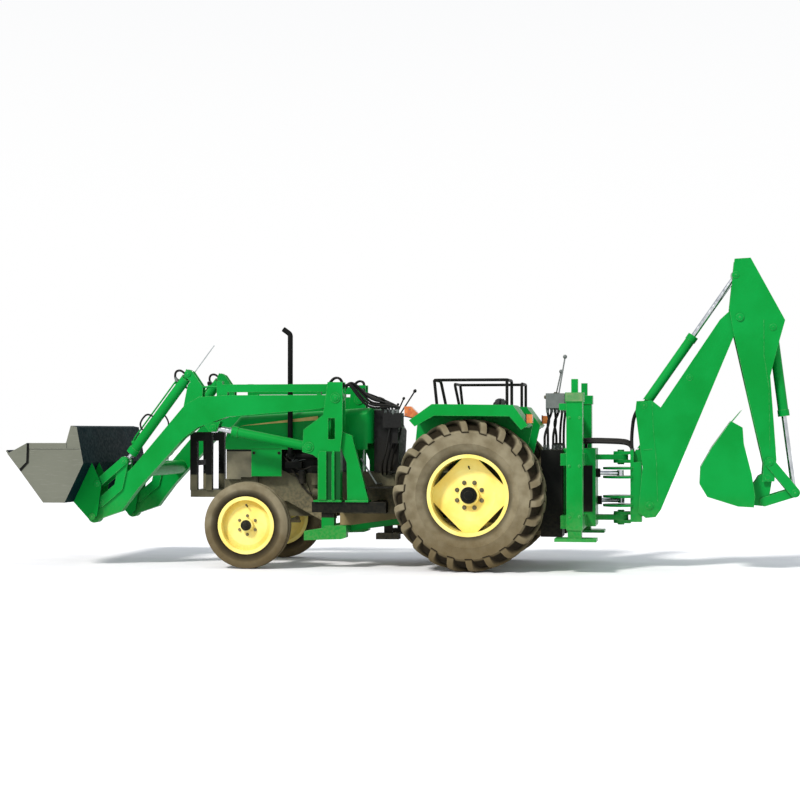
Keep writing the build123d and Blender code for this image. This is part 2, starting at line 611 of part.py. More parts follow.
def loader_post():
    base_z = POST_BASE_Z
    outline = [(1213, 1760), (1357, 1760), (1372, 1640), (1400, 1450), (1590, 1310), (1600, 1100),
               (1500, 1075), (1450, 1040), (1450, base_z), (1261, base_z), (1240, 1060), (1213, 1300)]
    y_low, y_high = LOADER_Y - POST_OUT, LOADER_Y + POST_OUT
    post = prism(outline, LOADER_Y + POST_IN, y_high) + prism(outline, y_low, LOADER_Y - POST_IN)
    post -= box(1285, 1350, y_low - 1, y_high + 1, 1220, 1420)
    post += box(1240, 1262, y_low, y_high, base_z, 1400)
    post += box(1430, 1450, y_low, y_high, base_z, 1030)
    post += box(1222, 1490, y_low - 10, y_high + 10, base_z - 16, base_z)
    strut = prism([(1242, 1300), (1130, 1255), (972, base_z), (1174, base_z), (1180, 1000), (1242, 1150)],
                  LOADER_Y - 30, LOADER_Y + 30)
    post += strut + box(965, 1185, y_low - 10, y_high + 10, base_z - 16, base_z)
    for at in (ARM_PIVOT, LIFT_BASE):
        post += cross_pin(at, PIN_R, y_low - 12, y_high + 12)
        for low in (y_low - 10, y_high):
            post += cross_pin(at, PIN_R + 22, low, low + 10)
    parts["loader_posts"] = left_right(post)


def loader_subframe():
    top = POST_BASE_Z - 16
    rail = box(800, 1510, LOADER_Y - 80, LOADER_Y + 60, top - SUBFRAME_H, top)
    rail += box(1180, ENGINE_REAR_X - 20, GEARBOX_HALF_W, LOADER_Y - 80, top - SUBFRAME_H, top)
    rail += box(860, 960, GEARBOX_HALF_W, LOADER_Y - 80, top - SUBFRAME_H, top)
    brace = prism([(1560, 300), (1560, 345), (1180, 400), (1180, 345)], LOADER_Y - 60, LOADER_Y + 40)
    inner_y = AXLE_FLANGE_Y - 60
    brace += box(1180, 1240, inner_y, LOADER_Y + 40, 345, 400)
    brace += prism([(1180, 345), (1180, 400), (60, 560), (60, 505)], inner_y, inner_y + 45)
    brace += box(-60, 60, inner_y, inner_y + 45, 505, REAR_R - AXLE_TUBE_R * 0.8)
    brace -= cross_pin(REAR_CENTRE, AXLE_TUBE_R, inner_y - 1, inner_y + 46)
    brace += box(1300, 1420, LOADER_Y - 60, LOADER_Y + 40, 345, top - SUBFRAME_H)
    parts["loader_subframe"] = left_right(rail + brace)


ARM_OUTLINE = [
    (1282, 1640), (2330, 1640), (2620, 1625), (2763, 1548), (3265, 970), (3600, 640), (3700, 520), (3690, 425),
    (3398, 523), (3225, 748), (2773, 1231), (2640, 1330), (2345, 1432), (1444, 1507), (1282, 1540),
]
CROSS_TUBE = (3160.0, 930.0)
CROSS_TUBE_R = 70.0
TILT_EYE_W = 54.0
LIFT_EYE_W = 60.0
LIFT_POCKET_R = 130.0     # pocket in the arm for the lift rod's eye


def loader_arm():
    y_low, y_high = LOADER_Y - ARM_W / 2, LOADER_Y + ARM_W / 2
    arm = prism(ARM_OUTLINE, y_low, y_high)
    for at, radius in ((ARM_PIVOT, 75), (BUCKET_PIVOT, 62), (ROCKER_PIVOT, 55)):
        arm += cross_pin(at, radius, y_low, y_high)
    horn = [(2750, 1892), (2690, 1870), (2585, 1720), (2590, 1610), (2775, 1540), (2735, 1740), (2708, 1772),
            (2775, 1832)]
    ear = [(2410, 1390), (2450, 1290), (2520, 1290), (2580, 1370)]
    for outline, room in ((horn, TILT_EYE_W), (ear, LIFT_EYE_W)):
        half = room / 2 + 3
        arm += prism(outline, LOADER_Y + half, LOADER_Y + half + EAR_T)
        arm += prism(outline, LOADER_Y - half - EAR_T, LOADER_Y - half)
    half = TILT_EYE_W / 2 + 3 + EAR_T
    arm += cross_pin(TILT_BASE, PIN_R, LOADER_Y - half, LOADER_Y + half)
    arm -= cross_pin(LIFT_EYE, LIFT_POCKET_R, LOADER_Y - LIFT_EYE_W / 2 - 3, LOADER_Y + LIFT_EYE_W / 2 + 3)
    for at in (ARM_PIVOT, BUCKET_PIVOT, ROCKER_PIVOT):
        arm -= cross_pin(at, PIN_R + RUN, y_low - 1, y_high + 1)
    parts["loader_arms"] = left_right(arm) + cross_pin(CROSS_TUBE, CROSS_TUBE_R, -y_low, y_low)
    parts["loader_pipes"] = left_right(pipe_guard() - arm)


PIPE_GUARD_X = (1340.0, 2450.0)
PIPE_GUARD_Z = (1669.0, 1743.0)
PIPE_GUARD_HALF_W = 34.0
PIPE_R = 9.0
PIPE_END_X = 2603.0


def pipe_guard():
    """The channel over the left arm that covers its two pipes, its two stands and the pipes."""
    half, wall = PIPE_GUARD_HALF_W, 5.0
    (x_low, x_high), (z_low, z_high) = PIPE_GUARD_X, PIPE_GUARD_Z
    y_low, y_high = LOADER_Y - half, LOADER_Y + half
    arm_z = ARM_OUTLINE[0][1] - 15
    guard = box(x_low, x_high, y_low, y_high, z_low, z_high)
    guard -= box(x_low - 1, x_high + 1, y_low + wall, y_high - wall, z_low - 1, z_high - wall)
    guard += box(x_low + 90, x_low + 130, y_low + wall, y_high - wall, arm_z, z_high)
    guard += box(x_high - 105, x_high, y_low, y_high, arm_z, z_high)
    guard += box(x_high - 55, x_high, y_low, y_high, z_high, z_high + 34)
    for y in (LOADER_Y - half / 2, LOADER_Y + half / 2):
        guard += bar((x_low + 10, y, z_high - 22), (PIPE_END_X, y, z_high - 22), PIPE_R)
    return guard


def tilt_linkage():
    half = ARM_W / 2 + LAYER_GAP

    def rocker_plate(low, high):
        middle = ((ROCKER_PIVOT[0] + ROCKER_TOP[0]) / 2 - 62, (ROCKER_PIVOT[1] + ROCKER_TOP[1]) / 2 - 50)
        lower = link(ROCKER_PIVOT, middle, 44, low, high, (0, 0))
        return lower + link(middle, ROCKER_TOP, 44, low, high, (0, 0))

    rocker = both_faces(rocker_plate, 0)
    rocker += cross_pin(ROCKER_PIVOT, PIN_R, LOADER_Y - half - LINK_T, LOADER_Y + half + LINK_T)
    stub = layer(1)[1] + 2
    rocker += cross_pin(ROCKER_TOP, PIN_R, LOADER_Y + layer(0)[0], LOADER_Y + stub)
    rocker += cross_pin(ROCKER_TOP, PIN_R, LOADER_Y - stub, LOADER_Y - layer(0)[0])
    parts["tilt_rockers"] = left_right(rocker)
    push = both_faces(lambda low, high: link(ROCKER_TOP, BUCKET_EAR, 38, low, high, (PIN_R + RUN, 0)), 1)
    parts["tilt_links"] = left_right(push)
    barrel, rod = cylinder_pair(TILT_BASE, ROCKER_TOP, LOADER_Y, 48, 24, 960, 925, TILT_EYE_W, PIN_R)
    parts["tilt_barrels"] = left_right(barrel)
    parts["tilt_rods"] = left_right(rod)


def lift_cylinders():
    barrel, rod = cylinder_pair(LIFT_BASE, LIFT_EYE, LOADER_Y, 46, 26, 780, 760, LIFT_EYE_W, PIN_R)
    parts["lift_barrels"] = left_right(barrel)
    parts["lift_rods"] = left_right(rod)


def bent_sheet(points, thickness):
    """Outline of a sheet bent along (x, z) points, its thickness to the right of the path."""
    inner = []
    for i, (x, z) in enumerate(points):
        normals = []
        for a, b in ((i - 1, i), (i, i + 1)):
            if a >= 0 and b < len(points):
                dx, dz = points[b][0] - points[a][0], points[b][1] - points[a][1]
                length = hypot(dx, dz)
                normals.append((dz / length, -dx / length))
        nx, nz = (sum(n[k] for n in normals) / len(normals) for k in (0, 1))
        scale = thickness / (nx * nx + nz * nz)
        inner.append((x + nx * scale, z + nz * scale))
    return list(points) + inner[::-1]


# The bucket's sheet from its lip round to its upper edge
BUCKET_PROFILE = [(4456, 1107), (4075, 614), (3861, 614), (3674, 992), (3741, 1337), (3801, 1349)]
BUCKET_SIDE = [(4420, 1060)] + BUCKET_PROFILE[1:] + [(3848, 1183), (4239, 1183)]


def loader_bucket():
    half = BUCKET_HALF_W
    bucket = prism(bent_sheet(BUCKET_PROFILE, BUCKET_WALL), -half, half)
    bucket += left_right(prism(BUCKET_SIDE, half - BUCKET_WALL, half))
    (ear_x, ear_z), (pivot_x, pivot_z) = BUCKET_EAR, BUCKET_PIVOT
    ear = BUCKET_PROFILE[2:4] + [(ear_x - 20, ear_z + 40), (ear_x - 42, ear_z - 15),
                                 (pivot_x - 50, pivot_z + 10), (pivot_x + 10, pivot_z - 50)]
    ears = both_faces(lambda low, high: prism(ear, low, high), 2)
    high = layer(2)[1]
    ears += cross_pin(BUCKET_PIVOT, PIN_R, LOADER_Y - high, LOADER_Y + high)
    parts["loader_bucket"] = bucket + left_right(ears)


# Backhoe
TANK_X = (-836.0, -636.0)
TANK_TOP_Z = 1122.0
BEAM_X = (-1110.0, -836.0)
HINGE_PLATE = 25.0


def backhoe_frame():
    inner_y = STAB_Y - STAB_SIZE / 2
    frame = box(BEAM_X[0] + 60, BEAM_X[1], -inner_y, inner_y, 980, 1090)
    frame += box(BEAM_X[0] + 60, BEAM_X[1], -inner_y, inner_y, 400, 520)
    plate_x = BEAM_X[0] - HINGE_PLATE
    for side in (1, -1):
        y_low, y_high = sorted((side * 190, side * 230))
        frame += box(BEAM_X[0], BEAM_X[1], y_low, y_high, 402, 1136)
    plate = box(plate_x, BEAM_X[0], -230, 230, 402, 1136)
    for y, z in ((SWING_LUG, SWING_CYL_Z[0]), (-SWING_LUG, SWING_CYL_Z[1])):
        plate -= bar((plate_x - 1, y, z), (BEAM_X[0] + 1, y, z), SWING_BARREL_R)
    frame += plate
    for z in SWING_EARS_Z:
        ear = box(SWING_X, plate_x, -70, 70, z - 25, z + 25) + upright(SWING_X, 0, 70, z - 25, z + 25)
        frame += ear - upright(SWING_X, 0, SWING_PIN_R + RUN, z - 26, z + 26)
    frame += box(BEAM_X[1], -250, -110, 110, 440, 600)
    half = STAB_SIZE / 2
    tube = box(STAB_X - half, STAB_X + half, STAB_Y - half, STAB_Y + half, 395, 1564)
    core = half - STAB_WALL
    tube -= box(STAB_X - core, STAB_X + core, STAB_Y - core, STAB_Y + core, 394, 1565)
    leg_half = core - RUN
    foot_top = FOOT_LOW_Z + FOOT_T
    leg = box(STAB_X - leg_half, STAB_X + leg_half, STAB_Y - leg_half, STAB_Y + leg_half, foot_top, 1500)
    leg += box(STAB_X - 200, STAB_X + 180, STAB_Y - 130, STAB_Y + 130, FOOT_LOW_Z, foot_top)
    parts["stabilizer_leg_left"] = leg
    cap = box(STAB_X - half - 10, STAB_X + half + 10, STAB_Y - half - 10, STAB_Y + half + 10, 1564, 1650)
    cap += box(STAB_X - 30, STAB_X + 30, STAB_Y - 30, STAB_Y + 30, 1650, 1774)
    valve_bar = box(STAB_X + half, -834, -STAB_Y - 60, STAB_Y + 60, 1490, 1550)
    parts["backhoe_frame"] = frame + left_right(tube + cap) + valve_bar
    tank = box(*TANK_X, -415, 415, 310, TANK_TOP_Z) - box(TANK_X[0] - 1, TANK_X[1] + 1, -130, 130, 309, 630)
    parts["hydraulic_tank"] = tank


SWING_CYL_Z = (903.0, 635.0)
SWING_BARREL_R = 42.0
SWING_ROD_R = 20.0
SWING_PIN_R = 32.0
SWING_GLAND_X = -1175.0
SWING_HALF_W = BOOM_HALF_W - BOOM_WALL - SIDE_GAP


def swing_group():
    for name, y, z in (("left", SWING_LUG, SWING_CYL_Z[0]), ("right", -SWING_LUG, SWING_CYL_Z[1])):
        barrel = bar((SWING_GLAND_X, y, z), (BEAM_X[1], y, z), SWING_BARREL_R)
        barrel -= bar((SWING_GLAND_X - 1, y, z), (BEAM_X[1] - 30, y, z), SWING_ROD_R + RUN)
        barrels = barrels + barrel if name == "right" else barrel
        rod = bar((SWING_X, y, z), (SWING_X + 272, y, z), SWING_ROD_R)
        rod += upright(SWING_X, y, SWING_ROD_R + 12, z - 25, z + 25)
        parts["swing_rod_" + name] = rod
    parts["swing_barrels"] = barrels
    post = box(-1560, -1455, -SWING_HALF_W, SWING_HALF_W, 440, 1005)
    post += box(-1485, -1455, -SWING_HALF_W, SWING_HALF_W, 1005, 1120)
    for z in SWING_EARS_Z:
        for low, high in ((z - 25 - RUN - 30, z - 25 - RUN), (z + 25 + RUN, z + 25 + RUN + 30)):
            post += box(-1455, SWING_X, -70, 70, low, high) + upright(SWING_X, 0, 70, low, high)
        post += upright(SWING_X, 0, SWING_PIN_R, z - 70, z + 70)
    for z in SWING_CYL_Z:
        for low in (z + 25 + SIDE_GAP, z - 25 - SIDE_GAP - 22):
            post += upright(SWING_X, 0, SWING_LUG + 40, low, low + 22)
    foot = [(-1500, 470), (BOOM_PIVOT[0] - 60, 540), (BOOM_PIVOT[0] - 60, 650), (-1500, 900)]
    post += prism(foot, -SWING_HALF_W, -40) + prism(foot, 40, SWING_HALF_W)
    ear = [(-1560, 960), (BOOM_BASE[0] - 42, 1045), (BOOM_BASE[0] - 42, 1100), (BOOM_BASE[0] - 15, 1122),
           (BOOM_BASE[0] + 25, 1122), (-1485, 1090), (-1485, 960)]
    post += left_right(prism(ear, 40, 60))
    post += cross_pin(BOOM_PIVOT, PIN_R + 6, -BOOM_HALF_W, BOOM_HALF_W)
    parts["swing_post"] = post + cross_pin(BOOM_BASE, PIN_R, -60, 60)


BOOM_OUTLINE = [
    (-1530, 530), (-1600, 480), (-1690, 490), (-1740, 560), (-2420, 2190), (-2530, 2310), (-2525, 2430),
    (-2400, 2440), (-2290, 2340), (-1740, 1520), (-1660, 1585), (-1515, 1580), (-1505, 1490), (-1570, 960),
]


def boom():
    inner = BOOM_HALF_W - BOOM_WALL
    body = left_right(prism(BOOM_OUTLINE, inner, BOOM_HALF_W))
    body += prism([(-2260, 1860), (-2415, 2190), (-2390, 2195), (-2240, 1870)], -inner, inner)
    body += cross_pin(DIPPER_PIVOT, 70, -BOOM_HALF_W, BOOM_HALF_W)
    body += prism([(-2150, 2131), (-2290, 2340), (-2300, 2325), (-2160, 2115)], -inner, inner)
    body += cross_pin(DIPPER_BASE, PIN_R, -inner, inner)
    for low in (-inner, 36):
        body += cross_pin(BOOM_EYE, PIN_R + 10, low, low + inner - 36)
    body -= cross_pin(DIPPER_PIVOT, PIN_R + 6 + RUN, -BOOM_HALF_W - 1, BOOM_HALF_W + 1)
    body -= cross_pin(BOOM_PIVOT, PIN_R + 6 + RUN, -BOOM_HALF_W - 1, BOOM_HALF_W + 1)
    parts["boom"] = body
    barrel, rod = cylinder_pair(BOOM_BASE, BOOM_EYE, 0, 44, 24, 770, 720, 60, PIN_R)
    parts["boom_barrel"], parts["boom_rod"] = barrel, rod
    barrel, rod = cylinder_pair(DIPPER_BASE, DIPPER_EYE, 0, 46, 24, 804, 760, 60, PIN_R)
    parts["dipper_barrel"], parts["dipper_rod"] = barrel, rod


DIPPER_OUTLINE = [
    (-2425, 2906), (-2573, 2913), (-2884, 2328), (-2811, 2066), (-2747, 1809), (-2800, 1032),
    (-2780, 830), (-2670, 830), (-2683, 994), (-2412, 2220), (-2376, 2446),
]
DIPPER_IN = BOOM_HALF_W + SIDE_GAP
DIPPER_OUT = DIPPER_IN + DIPPER_WALL
GUIDE_T = 16.0
PUSH_Y = (DIPPER_IN - SIDE_GAP - 18.0, DIPPER_IN - SIDE_GAP)
HOE_EAR_Y = (PUSH_Y[0] - SIDE_GAP - 20.0, PUSH_Y[0] - SIDE_GAP)


def dipper():
    body = left_right(prism(DIPPER_OUTLINE, DIPPER_IN, DIPPER_OUT))
    body += cross_pin(DIPPER_PIVOT, PIN_R + 6, -DIPPER_OUT - 8, DIPPER_OUT + 8)
    body += cross_pin(CURL_BASE, PIN_R, -DIPPER_IN, DIPPER_IN)
    pin_y = DIPPER_OUT + SIDE_GAP + GUIDE_T + 2
    body += cross_pin(GUIDE_PIVOT, PIN_R, -pin_y, pin_y)
    body += cross_pin(HOE_PIVOT, PIN_R, -DIPPER_OUT - 4, DIPPER_OUT + 4)
    body += prism([(-2476, 1990), (-2490, 1990), (-2690, 1090), (-2674, 1090)], -DIPPER_IN, DIPPER_IN)
    body += left_right(cross_pin(DIPPER_EYE, PIN_R + 12, 36, DIPPER_IN))
    parts["dipper"] = body
    barrel, rod = cylinder_pair(CURL_BASE, CURL_EYE, 0, 48, 24, 832, 800, 60, PIN_R)
    parts["curl_barrel"], parts["curl_rod"] = barrel, rod
    low = DIPPER_OUT + SIDE_GAP
    guide = link(GUIDE_PIVOT, CURL_EYE, 45, low, low + GUIDE_T, (PIN_R + RUN, 0))
    guide += cross_pin(CURL_EYE, PIN_R, PUSH_Y[0] - 2, low)
    parts["hoe_guides"] = left_right(guide)
    push = link(CURL_EYE, HOE_EAR, 42, *PUSH_Y, (PIN_R + RUN, 0))
    parts["hoe_push_links"] = left_right(push)


HOE_PROFILE = [
    (-2398, 1383), (-2225, 1142), (-2118, 955), (-2111, 808), (-2176, 700), (-2448, 615), (-2590, 608),
]


def hoe_bucket():
    half = HOE_HALF_W
    shell = prism(bent_sheet(HOE_PROFILE[::-1], HOE_WALL), -half, half)
    side = HOE_PROFILE + [(-2600, 700), (-2570, 900), (-2500, 1180), (-2490, 1330)]
    shell += left_right(prism(side, half - HOE_WALL, half))
    ear = [(-2540, 612), (HOE_EAR[0] + 20, HOE_EAR[1] - 40), (HOE_EAR[0] - 35, HOE_EAR[1] - 25),
           (HOE_EAR[0] - 40, HOE_EAR[1] + 15), (HOE_PIVOT[0] - 48, HOE_PIVOT[1] + 10),
           (HOE_PIVOT[0] + 10, HOE_PIVOT[1] + 48), (-2640, 880), (-2470, 616)]
    plates = prism(ear, *HOE_EAR_Y)
    plates -= cross_pin(HOE_PIVOT, PIN_R + RUN, HOE_EAR_Y[0] - 1, HOE_EAR_Y[1] + 1)
    bucket = shell + left_right(plates)
    for y in (-250, -125, 0, 125, 250):
        bucket += prism([(-2398, 1383), (-2380, 1352), (-2345, 1330), (-2490, 1496)], y - 28, y + 28)
    parts["hoe_bucket"] = bucket


VALVE_X = (-834.0, -665.0)
VALVE_Z = (1515.0, 1656.0)


def valve_bank():
    bank = box(*VALVE_X, -200, 200, *VALVE_Z)
    levers = bar((-780, 110, 1640), (-840, 110, 1990), 7) + Pos(-842, 110, 2005) * Sphere(20)
    levers += bar((-740, -60, 1640), (-790, -60, 1860), 7) + Pos(-792, -60, 1870) * Sphere(20)
    parts["valve_bank"] = bank + levers


VALVE_HOSES = 6
VALVE_HOSE_R = 11.0


def valve_hoses():
    """Hoses from the foot of the valve bank to the top of the tank."""
    hoses = []
    for i in range(VALVE_HOSES):
        y = (i - (VALVE_HOSES - 1) / 2) * 62.0
        x = VALVE_X[1] - 30.0 - 28.0 * (i % 2)
        foot = (x + 30, y + 12, TANK_TOP_Z)
        route = [(x, y, VALVE_Z[0]), (x, y, VALVE_Z[0] - 90), (*foot[:2], foot[2] + 130), foot]
        hoses.append(tube_path(route, 90.0, VALVE_HOSE_R))
    parts["valve_hoses"] = Compound(children=hoses)


def finish():
    """Makes the right-hand pieces, centres the machine on its base and writes one file a node."""
    for name in [n for n in parts if n.endswith("_left") and n.replace("_left", "_right") not in parts]:
        parts[name.replace("_left", "_right")] = mirror(parts[name], about=Plane.XZ)
    boxes = [shape.bounding_box() for shape in parts.values()]
    middle = (min(b.min.X for b in boxes) + max(b.max.X for b in boxes)) / 2
    os.makedirs("parts", exist_ok=True)
    for name, shape in parts.items():
        moved = Pos(-middle, 0, 0) * shape
        moved.label = name
        export_step(moved, os.path.join("parts", name + ".step"))
    return middle


for make in (rear_wheel, front_wheel, front_axle, drive_line, hood, grille, front_guard, exhaust,
             driver_place, fender, loader_post, loader_subframe, loader_arm, tilt_linkage, lift_cylinders,
             loader_bucket, backhoe_frame, swing_group, boom, dipper, hoe_bucket, valve_bank, valve_hoses):
    make()
MIDDLE_X = finish()
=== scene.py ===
"""Looks of a farm tractor with a front loader and a backhoe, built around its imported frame."""

import json
import math

import bmesh
import bpy
from mathutils import Matrix, Vector


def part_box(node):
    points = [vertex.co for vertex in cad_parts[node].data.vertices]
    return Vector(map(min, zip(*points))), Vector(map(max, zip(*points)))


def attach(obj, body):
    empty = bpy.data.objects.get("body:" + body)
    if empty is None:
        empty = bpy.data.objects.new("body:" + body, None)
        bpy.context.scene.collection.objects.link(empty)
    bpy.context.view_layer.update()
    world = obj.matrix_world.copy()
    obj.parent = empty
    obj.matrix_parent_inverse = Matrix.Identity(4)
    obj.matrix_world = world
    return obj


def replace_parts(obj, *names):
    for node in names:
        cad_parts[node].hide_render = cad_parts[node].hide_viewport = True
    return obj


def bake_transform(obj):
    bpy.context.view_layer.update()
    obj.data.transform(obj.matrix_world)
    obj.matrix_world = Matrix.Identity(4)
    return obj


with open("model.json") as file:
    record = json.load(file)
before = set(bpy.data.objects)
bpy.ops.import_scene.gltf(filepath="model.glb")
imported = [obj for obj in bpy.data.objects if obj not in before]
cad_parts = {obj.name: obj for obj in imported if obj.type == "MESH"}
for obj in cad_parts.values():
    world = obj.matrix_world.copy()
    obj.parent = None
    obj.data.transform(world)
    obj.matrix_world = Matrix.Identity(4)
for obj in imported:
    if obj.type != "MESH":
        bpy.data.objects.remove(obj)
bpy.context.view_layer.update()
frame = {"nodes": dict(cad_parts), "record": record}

MM = 0.001
TURN = 2 * math.pi
X_AXIS, Y_AXIS, Z_AXIS = Vector((1, 0, 0)), Vector((0, 1, 0)), Vector((0, 0, 1))
SIDES = ((1, "left"), (-1, "right"))


def middle(node):
    """Middle of a CAD node's box."""
    low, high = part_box(node)
    return (Vector(low) + Vector(high)) / 2


REAR_HUB = middle("rear_tyre_left")
FRONT_HUB = middle("front_tyre_left")


def at(x, y, z):
    """A place in millimetres ahead of the rear axle, left of the middle and above the ground."""
    return Vector((REAR_HUB.x + x * MM, y * MM, z * MM))


# Shader nodes
def srgb(red, green, blue):
    """A screen colour, 0 to 255, as linear light."""
    def linear(value):
        share = value / 255
        return share / 12.92 if share <= 0.04045 else ((share + 0.055) / 1.055) ** 2.4
    return (linear(red), linear(green), linear(blue), 1.0)


def feed(tree, socket, value):
    """Links a socket to another node's, or sets it to a constant."""
    if isinstance(value, bpy.types.NodeSocket):
        tree.links.new(value, socket)
    else:
        socket.default_value = value


def add(tree, kind, settings=None, **inputs):
    """A shader node; inputs are numbers, colours or other nodes' sockets."""
    node = tree.nodes.new(kind)
    for key, value in (settings or {}).items():
        setattr(node, key, value)
    for key, value in inputs.items():
        feed(tree, node.inputs[key.replace("_", " ")], value)
    return node


def blend_colour(tree, share, first, second):
    """Mixes two colours by a share."""
    node = add(tree, "ShaderNodeMix", {"data_type": "RGBA"})
    for number, value in ((0, share), (6, first), (7, second)):
        feed(tree, node.inputs[number], value)
    return node.outputs[2]


def span(tree, value, low, high, to_low=0.0, to_high=1.0):
    """Maps a value from one range to another, smoothly and within it."""
    node = add(tree, "ShaderNodeMapRange", {"interpolation_type": "SMOOTHSTEP"}, Value=value,
               From_Min=low, From_Max=high, To_Min=to_low, To_Max=to_high)
    return node.outputs["Result"]


def combine(tree, operation, *values):
    """One value or two put through a sum of that kind."""
    node = add(tree, "ShaderNodeMath", {"operation": operation})
    for socket, value in zip(node.inputs, values):
        feed(tree, socket, value)
    return node.outputs[0]


def noise(tree, place, scale, detail=3.0, stretch=None):
    """Noise over the surface, at a number of lumps a metre."""
    if stretch:
        place = add(tree, "ShaderNodeMapping", Vector=place, Scale=stretch).outputs[0]
    return add(tree, "ShaderNodeTexNoise", Vector=place, Scale=scale, Detail=detail).outputs[0]


def on_object(tree):
    """Place on the object, in metres."""
    return add(tree, "ShaderNodeTexCoord").outputs["Object"]


def part_of(tree, source, axis):
    """One axis of a texture coordinate, such as the place on the object or the way its face looks."""
    vector = add(tree, "ShaderNodeTexCoord").outputs[source]
    return add(tree, "ShaderNodeSeparateXYZ", Vector=vector).outputs[axis]


# Finishes
DUST = srgb(150, 136, 104)
FINE = 38.0  # lumps a metre of the noise that breaks up gloss, dust, and the painted edge highlight with its wear
EDGE_HIGHLIGHT_AND_WEAR_REACH = 0.007  # how far the painted highlight and wear along an edge reach
GRAIN_DEPTH = 0.004
SCRATCHES = (9.0, 8.0, (1.0, 6.0, 14.0))  # lumps a metre, detail and stretch of fine marks


def surface(name, base, second, rough=(0.3, 0.5), metallic=0.0, dust=(0.0, 0.6, 0.0), bump=(140.0, 0.05),
            coat=0.0, patch=2.5, scratch=None, shine=0.12, edge=None):
    """A finish that varies from base to second in patches.

    dust is how much gathers below a height in metres, and how much lies on faces that look up.
    bump is its scale and strength, scratch a colour of fine marks, shine how much the surface mirrors
    and edge the colour of a painted highlight along edges, mixed with wear where they rub.
    """
    material = bpy.data.materials.new(name)
    material.use_nodes = True
    tree = material.node_tree
    shader = tree.nodes["Principled BSDF"]
    place = on_object(tree)
    fine = noise(tree, place, FINE, 5.0)
    colour = blend_colour(tree, span(tree, noise(tree, place, patch, 4.0), 0.3, 0.7), base, second)
    if scratch:
        marks = noise(tree, place, *SCRATCHES)
        colour = blend_colour(tree, span(tree, marks, 0.56, 0.7), colour, scratch)
    # painted highlight along edges, mixed with wear: a lighter colour where the eased normal turns away from
    # the face's own
    if edge:
        eased = add(tree, "ShaderNodeBevel", {"samples": 4}, Radius=EDGE_HIGHLIGHT_AND_WEAR_REACH).outputs[0]
        along = add(tree, "ShaderNodeVectorMath", {"operation": "DOT_PRODUCT"})
        tree.links.new(eased, along.inputs[0])
        tree.links.new(add(tree, "ShaderNodeNewGeometry").outputs["Normal"], along.inputs[1])
        edge_highlight_and_wear = combine(tree, "MULTIPLY", span(tree, along.outputs["Value"], 0.99, 0.8),
                         span(tree, fine, 0.35, 0.65, 0.15, 0.9))
        colour = blend_colour(tree, edge_highlight_and_wear, colour, edge)
    amount, height, on_top = dust
    if amount or on_top:
        low = span(tree, part_of(tree, "Object", "Z"), height, height * 0.25, 0.0, amount)
        top = span(tree, part_of(tree, "Normal", "Z"), 0.55, 0.95, 0.0, on_top)
        mask = combine(tree, "MULTIPLY", combine(tree, "MAXIMUM", low, top),
                       span(tree, fine, 0.34, 0.62, 0.25, 1.0))
        colour = blend_colour(tree, mask, colour, DUST)
    tree.links.new(colour, shader.inputs["Base Color"])
    tree.links.new(span(tree, fine, 0.3, 0.7, *rough), shader.inputs["Roughness"])
    shader.inputs["Metallic"].default_value = metallic
    shader.inputs["Coat Weight"].default_value = coat
    shader.inputs["Specular IOR Level"].default_value = shine
    scale, strength = bump
    relief = add(tree, "ShaderNodeBump", Strength=strength, Distance=GRAIN_DEPTH,
                 Height=noise(tree, place, scale, 4.0))
    tree.links.new(relief.outputs[0], shader.inputs["Normal"])
    return material


def colour_of(material):
    """A finish's node tree, the socket of its colour and what feeds it."""
    socket = material.node_tree.nodes["Principled BSDF"].inputs["Base Color"]
    return material.node_tree, socket, socket.links[0].from_socket


BRACKETS_END, ENDS_START = 0.76, 0.80  # metres from the bucket's middle
# colour of every face of the bucket that does not look sideways, dark, with worn patches
BUCKET_SHEET, BUCKET_SHEET_WORN = srgb(5, 27, 32), srgb(26, 50, 52)


def bucket_steel(green):
    """Grey end plates, green brackets between them, and a dark colour with worn patches on every face that
    does not look sideways.
    """
    material = surface("bucket_grey", srgb(102, 104, 93), srgb(108, 110, 99), rough=(0.5, 0.75),
                       bump=(60.0, 0.12), scratch=srgb(114, 115, 105), shine=0.05,
                       edge=srgb(150, 150, 140))
    tree, socket, grey = colour_of(material)
    flat = combine(tree, "ABSOLUTE", part_of(tree, "Normal", "Y"))
    off_middle = combine(tree, "ABSOLUTE", part_of(tree, "Object", "Y"))
    ends = blend_colour(tree, span(tree, off_middle, BRACKETS_END, ENDS_START), green, grey)
    worn = span(tree, noise(tree, on_object(tree), 5.0, 8.0), 0.5, 0.8, 0.0, 0.45)
    sheet = blend_colour(tree, worn, BUCKET_SHEET, BUCKET_SHEET_WORN)
    # faces that look sideways take the grey or green, all others the dark colour
    tree.links.new(blend_colour(tree, span(tree, flat, 0.6, 0.8), sheet, ends), socket)
    return material


RAISED = "raised"  # how far a tyre's face stands out from between its lugs, 0 to 1; low values take the painted shade
# the tyres grow browner towards the ground, below a height in metres
TYRE_LOW_COLOUR = srgb(82, 68, 42)
TYRE_LOW_BELOW = 0.75  # metres above the ground


def rubber():
    """Tyre rubber with dry soil on its raised faces, painted shade between the lugs, in the grooves and by
    the rim, and browner near the ground.
    """
    material = surface("tyre_rubber", srgb(104, 95, 74), srgb(130, 122, 100), rough=(0.75, 0.95),
                       bump=(70.0, 0.3), dust=(0.0, 1.6, 0.3), patch=7.0, shine=0.08)
    tree, socket, soil = colour_of(material)
    low = span(tree, part_of(tree, "Object", "Z"), TYRE_LOW_BELOW, 0.0, 0.0, 0.75)
    soil = blend_colour(tree, low, soil, TYRE_LOW_COLOUR)
    # painted shade: a near-black brown where the face lies low, between lugs, in grooves and by the rim
    dark = blend_colour(tree, noise(tree, on_object(tree), 22.0, 4.0), srgb(20, 17, 12), srgb(46, 39, 27))
    raised = add(tree, "ShaderNodeAttribute", {"attribute_name": RAISED}).outputs["Fac"]
    tree.links.new(blend_colour(tree, span(tree, raised, 0.2, 0.9), dark, soil), socket)
    return material


